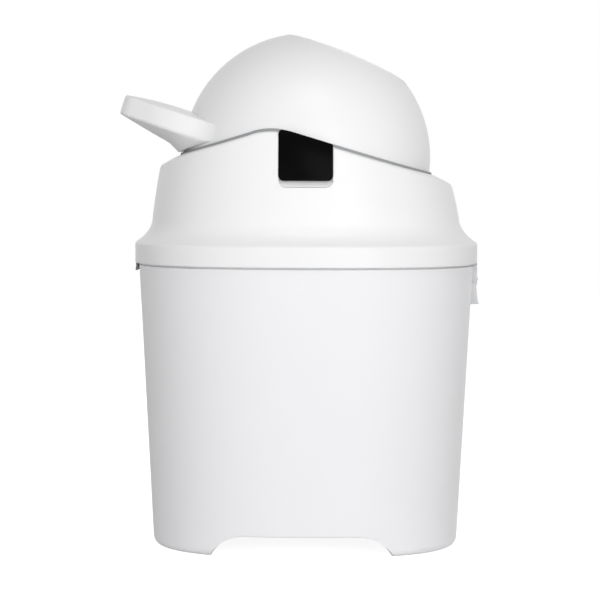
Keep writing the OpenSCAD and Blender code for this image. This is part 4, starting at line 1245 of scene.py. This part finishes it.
seat = BAND_W - LEAF_SEAT + 0.02
strap = extruded("hinge_strap", [
    (seat, LEAF_TOP), (BAND_W, LEAF_TOP), (BAND_W, HINGE_Z + 3), (HINGE_X + KNUCKLE_R - 0.1, HINGE_Z),
    (HINGE_X, HINGE_Z), (HINGE_X + 0.3, HINGE_Z + KNUCKLE_R + 1), (seat, BAND_LOW - 1)], STRAP_HALF)
joined(strap, along_y("knuckle", KNUCKLE_R, -STRAP_HALF, STRAP_HALF, HINGE_X, HINGE_Z))
cut(strap, along_y("pin_bore", PIN_BORE, -HINGE_L, HINGE_L, HINGE_X, HINGE_Z),
    *screw_bores(155, 161.2, STRAP_SCREW_Y, STRAP_SCREW_Z))
book(bevelled(strap, 0.25), "lid", hinge_plastic, "hinge_leaf_upper")

# %% Latch
latch_x, latch_z = -(BAND_W - 1.8), BAND_LOW + 9.5
lever = extruded("latch_tab", [(latch_x + x, z) for x, z in (
    (-1.1, latch_z + 2), (1.1, latch_z + 2), (1.1, BAND_LOW - 4.6), (2.6, BAND_LOW - 4.6),
    (2.2, BAND_LOW - 7), (0, BAND_LOW - 8), (-1.7, BAND_LOW - 8), (-1.1, BAND_LOW - 4))], LATCH_W / 2)
cut(lever, along_y("latch_bore", 0.88, -LATCH_W, LATCH_W, latch_x, latch_z, 24))
# the tab's dark grey is partly painted shade under the band
book(bevelled(lever, 0.3), "latch", lever_plastic, "latch_lever")

# %% [markdown]
# ## Screws
# All screws of the bin are one moulding screw in four lengths: a countersunk head with a
# cross recess, and a coarse thread. A small rule sets a screw on every spot and turns it
# to the spot's direction. The turn about its own axis differs from screw to screw, as a
# fitter leaves it, but the seed is fixed.

# %% Screw
SCREW_R, THREAD_PITCH, THREAD_DEPTH = 1.6, 1.25, 0.42
CROSS_L, CROSS_W, CROSS_DEPTH = 2.9, 0.62, 0.8


def screw_form(length):
    """One screw with its head's seat at zero and its shank running down."""
    core = SCREW_R - THREAD_DEPTH
    line = [(0.0, SCREW_R), (2 * SCREW_R - 0.15, SCREW_R), (2 * SCREW_R, SCREW_R - 0.15),
            (SCREW_R, 0.0)]
    for i in range(max(1, int((length - 1.2) / THREAD_PITCH))):
        line += [(r, -0.5 - THREAD_PITCH * (i + share))
                 for r, share in ((core, 0.15), (SCREW_R, 0.5), (core, 0.85))]
    line += [(core, -length + 0.6), (SCREW_R - 0.9, -length), (0.0, -length)]
    spin = np.arange(24) * 2 * math.pi / 24
    grid = [[(r * math.cos(a), r * math.sin(a), z) for a in spin] for r, z in line]
    screw = add_piece("screw_form", polygon_mesh("screw_form", np.array(grid) * MM,
                                                 grid_faces(len(line), 24)))
    for across, along in ((CROSS_L, CROSS_W), (CROSS_W, CROSS_L)):
        cut(screw, boxed("cross", (-across / 2, -along / 2, SCREW_R - CROSS_DEPTH),
                         (across / 2, along / 2, SCREW_R + CROSS_DEPTH),
                         placed=lambda points: points * MM, foot=0.6))
    return screw


def screw_rule():
    rule = Rule("screws_on_spots", section="Spots", Seed=3.0)
    rule.socket("Screw", "Object")
    shape = rule.out("GeometryNodeObjectInfo", "Geometry", Object=rule.entry.outputs["Screw"])
    aim = rule.out("GeometryNodeInputNamedAttribute", "Attribute", data_type="FLOAT_VECTOR",
                   Name="aim")
    turn = rule.out("FunctionNodeRandomValue", "Value", data_type="FLOAT", Max=math.pi,
                    Seed=rule["Seed"])
    about = rule.out("FunctionNodeAxisAngleToRotation", Angle=turn)
    align = rule.out("FunctionNodeAlignRotationToVector", axis="Z", Rotation=about, Vector=aim)
    put = rule.out("GeometryNodeInstanceOnPoints", Points=rule.entry.outputs["Spots"],
                   Instance=shape, Rotation=align)
    return rule.finish(put, zinc_steel)


# %% Screws
deck_z, boss_r = WALL_FOOT - 4.0, 147.14
HANDLE_SCREW_Q, SOLID_POWER = (24.0, 62.0), 2.3
handle_spots = [from_handle(DRUM_R * (1 - (q / DRUM_W) ** SOLID_POWER) ** (1 / SOLID_POWER) - 2.5,
                            side * q, -2.0) for side in (-1, 1) for q in HANDLE_SCREW_Q]
out_of_handle = (math.cos(HANDLE_RISE), 0, -math.sin(HANDLE_RISE))
leaf_spot_x = low_w + (high_w - low_w) * (LEAF_SCREW_Z - wall_z) / wall_rise + SCREW_R
screw_sets = (
    ("leaf_screws", "bin", "hinge_screws_lower", BIN_WALL + 2.5, (-1, 0, 0),
     [(leaf_spot_x, y, LEAF_SCREW_Z) for y in (-LEAF_SCREW_Y, LEAF_SCREW_Y)]),
    ("strap_screws", "lid", "hinge_screws_upper", BAND_WALL - 1.9, (-1, 0, 0),
     [(BAND_W - BAND_WALL + SCREW_R, y, STRAP_SCREW_Z) for y in (-STRAP_SCREW_Y, STRAP_SCREW_Y)]),
    ("deck_screws", "lid", "liner_screws", 14.0, (0, 0, -1),
     [(boss_r * math.cos(a), boss_r * math.sin(a), deck_z + SCREW_R)
      for a in np.radians((45, 135, 225, 315))]),
    ("visor_screws", "drum", "handle_screws", 19.0, out_of_handle, handle_spots))
screws = screw_rule()
for name, body, node, length, aim, spots in screw_sets:
    form = screw_form(length)
    cloud = polygon_mesh("spots", in_frame(spots), [])
    direction = cloud.attributes.new("aim", "FLOAT_VECTOR", "POINT")
    for item in direction.data:
        item.vector = aim
    piece = screws.grow(name, mesh=cloud, Screw=form)
    bpy.data.objects.remove(form)
    tidy_mesh(piece.data)
    book(piece, body, zinc_steel, node)

# %% [markdown]
# ## Finish of the CAD parts that stay
# Pins, bushes, seals and the inner mouldings keep their CAD shapes, which are exact
# turned or flat forms. They only take their finish here.

# %% CAD parts
for material, names in (
        (zinc_steel, ("hinge_pin", "axle_pin_front", "axle_pin_rear", "latch_pin",
                      "latch_spring", "drum_dowels", "piston_weight")),
        (seal_foam, ("lid_gasket",)),
        (ring_felt, ("piston_ring_a", "piston_ring_b")),
        (inner_plastic, ("liner_deck", "well_tube", "piston_cup", "piston_cap")),
        (bush_plastic, ("axle_bush_front", "axle_bush_rear"))):
    dress(material, *[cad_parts[name] for name in names])
    print(material.name, "on", len(names), "CAD parts")

# %% [markdown]
# ## Floor, light and camera
# White plastic on white shows its form only through soft falloff. A broad lamp stands in
# front and to the right, a weaker one to the left, and the surroundings stay a little
# darker than the lamps, so that each wall darkens as it turns away. The camera sees plain
# white behind, and so do reflections.

# %% Floor
FLOOR_HALF, FLOOR_GLOW = 4.5, 0.9
floor = linked("floor", polygon_mesh("floor", [
    (x * FLOOR_HALF, y * FLOOR_HALF, 0.0) for x, y in ((-1, -1), (1, -1), (1, 1), (-1, 1))],
    [(0, 1, 2, 3)]))
look = Look("pale_floor", Base_Color=(0.86, 0.86, 0.86, 1), Roughness=1.0, Specular_IOR_Level=0.0)
lit = look.add("ShaderNodeAddShader")
seen = look.add("ShaderNodeMixShader", Fac=look.out("ShaderNodeLightPath", "Is Camera Ray"))
look.feed(lit.inputs[0], look.shader.outputs[0])
look.feed(lit.inputs[1], look.out("ShaderNodeEmission", Strength=FLOOR_GLOW))
look.feed(seen.inputs[1], look.shader.outputs[0])
look.feed(seen.inputs[2], lit.outputs[0])
look.feed(look.tree.nodes["Material Output"].inputs["Surface"], seen.outputs[0])
floor.data.materials.append(look.material)
print("floor:", 2 * FLOOR_HALF, "m square")

# %% World
AMBIENT, OVERHEAD = 0.74, 0.12
world = bpy.data.worlds.new("studio")
scene.world = world
world.use_nodes = True
sky = Net(world.node_tree)
rays = sky.add("ShaderNodeLightPath").outputs
white = Value(sky, rays["Is Glossy Ray"]).most(rays["Is Transmission Ray"])
white = white.most(rays["Is Camera Ray"])
aim = sky.add("ShaderNodeSeparateXYZ", Vector=sky.out("ShaderNodeTexCoord", "Generated"))
fade = sky.out("ShaderNodeMapRange", "Result", To_Min=AMBIENT, To_Max=OVERHEAD,
               Value=aim.outputs["Z"])
back = sky.tree.nodes["Background"]
sky.feed(back.inputs["Color"], (1, 1, 1, 1))
sky.feed(back.inputs["Strength"],
         sky.out("ShaderNodeMapRange", "Result", To_Min=fade, To_Max=1.0, Value=white))
print("world: strength", AMBIENT, "at the horizon and", OVERHEAD, "overhead")


# %% Lamps
def aimed(name, data, place, target, roll_deg=0.0):
    """An object at a place, turned towards a target and rolled about that line."""
    piece = linked(name, data)
    piece.location = place
    ahead = mathutils.Vector(np.subtract(target, place).tolist()).to_track_quat("-Z", "Y")
    roll = mathutils.Quaternion((0.0, 0.0, 1.0), math.radians(roll_deg))
    piece.rotation_euler = (ahead @ roll).to_euler()
    return piece


for name, power, size, place, target in (
        ("key", 38.0, (1.5, 1.9), (0.8, -2.95, 0.85), (0.0, 0.0, 0.24)),
        ("fill", 9.0, (1.4, 2.0), (-1.0, -2.75, 0.6), (0.0, 0.0, 0.22)),
        ("top", 9.0, (1.2, 1.0), (0.2, -1.2, 2.3), (0.0, 0.0, 0.42))):
    light = bpy.data.lights.new(name, "AREA")
    light.energy, light.shape = power, "RECTANGLE"
    light.size, light.size_y = size
    aimed(name, light, place, target)
    print(name, "lamp:", power, "W")

# %% Camera
CAMERA_D, CAMERA_Z, AIM_Z, FRAME_W, ROLL_DEG = 3.0, 0.375, 0.2286, 0.570, 0.22
camera_x = shift_x - 0.0057
camera_data = bpy.data.cameras.new("camera")
camera_data.lens = camera_data.sensor_width * math.hypot(CAMERA_D, CAMERA_Z - AIM_Z) / FRAME_W
scene.camera = aimed("camera", camera_data, (camera_x, -CAMERA_D, CAMERA_Z),
                     (camera_x, 0.0, AIM_Z), ROLL_DEG)
scene.view_settings.view_transform = "Standard"
print("camera:", round(camera_data.lens, 1), "mm lens,", CAMERA_D, "m in front of the bin")
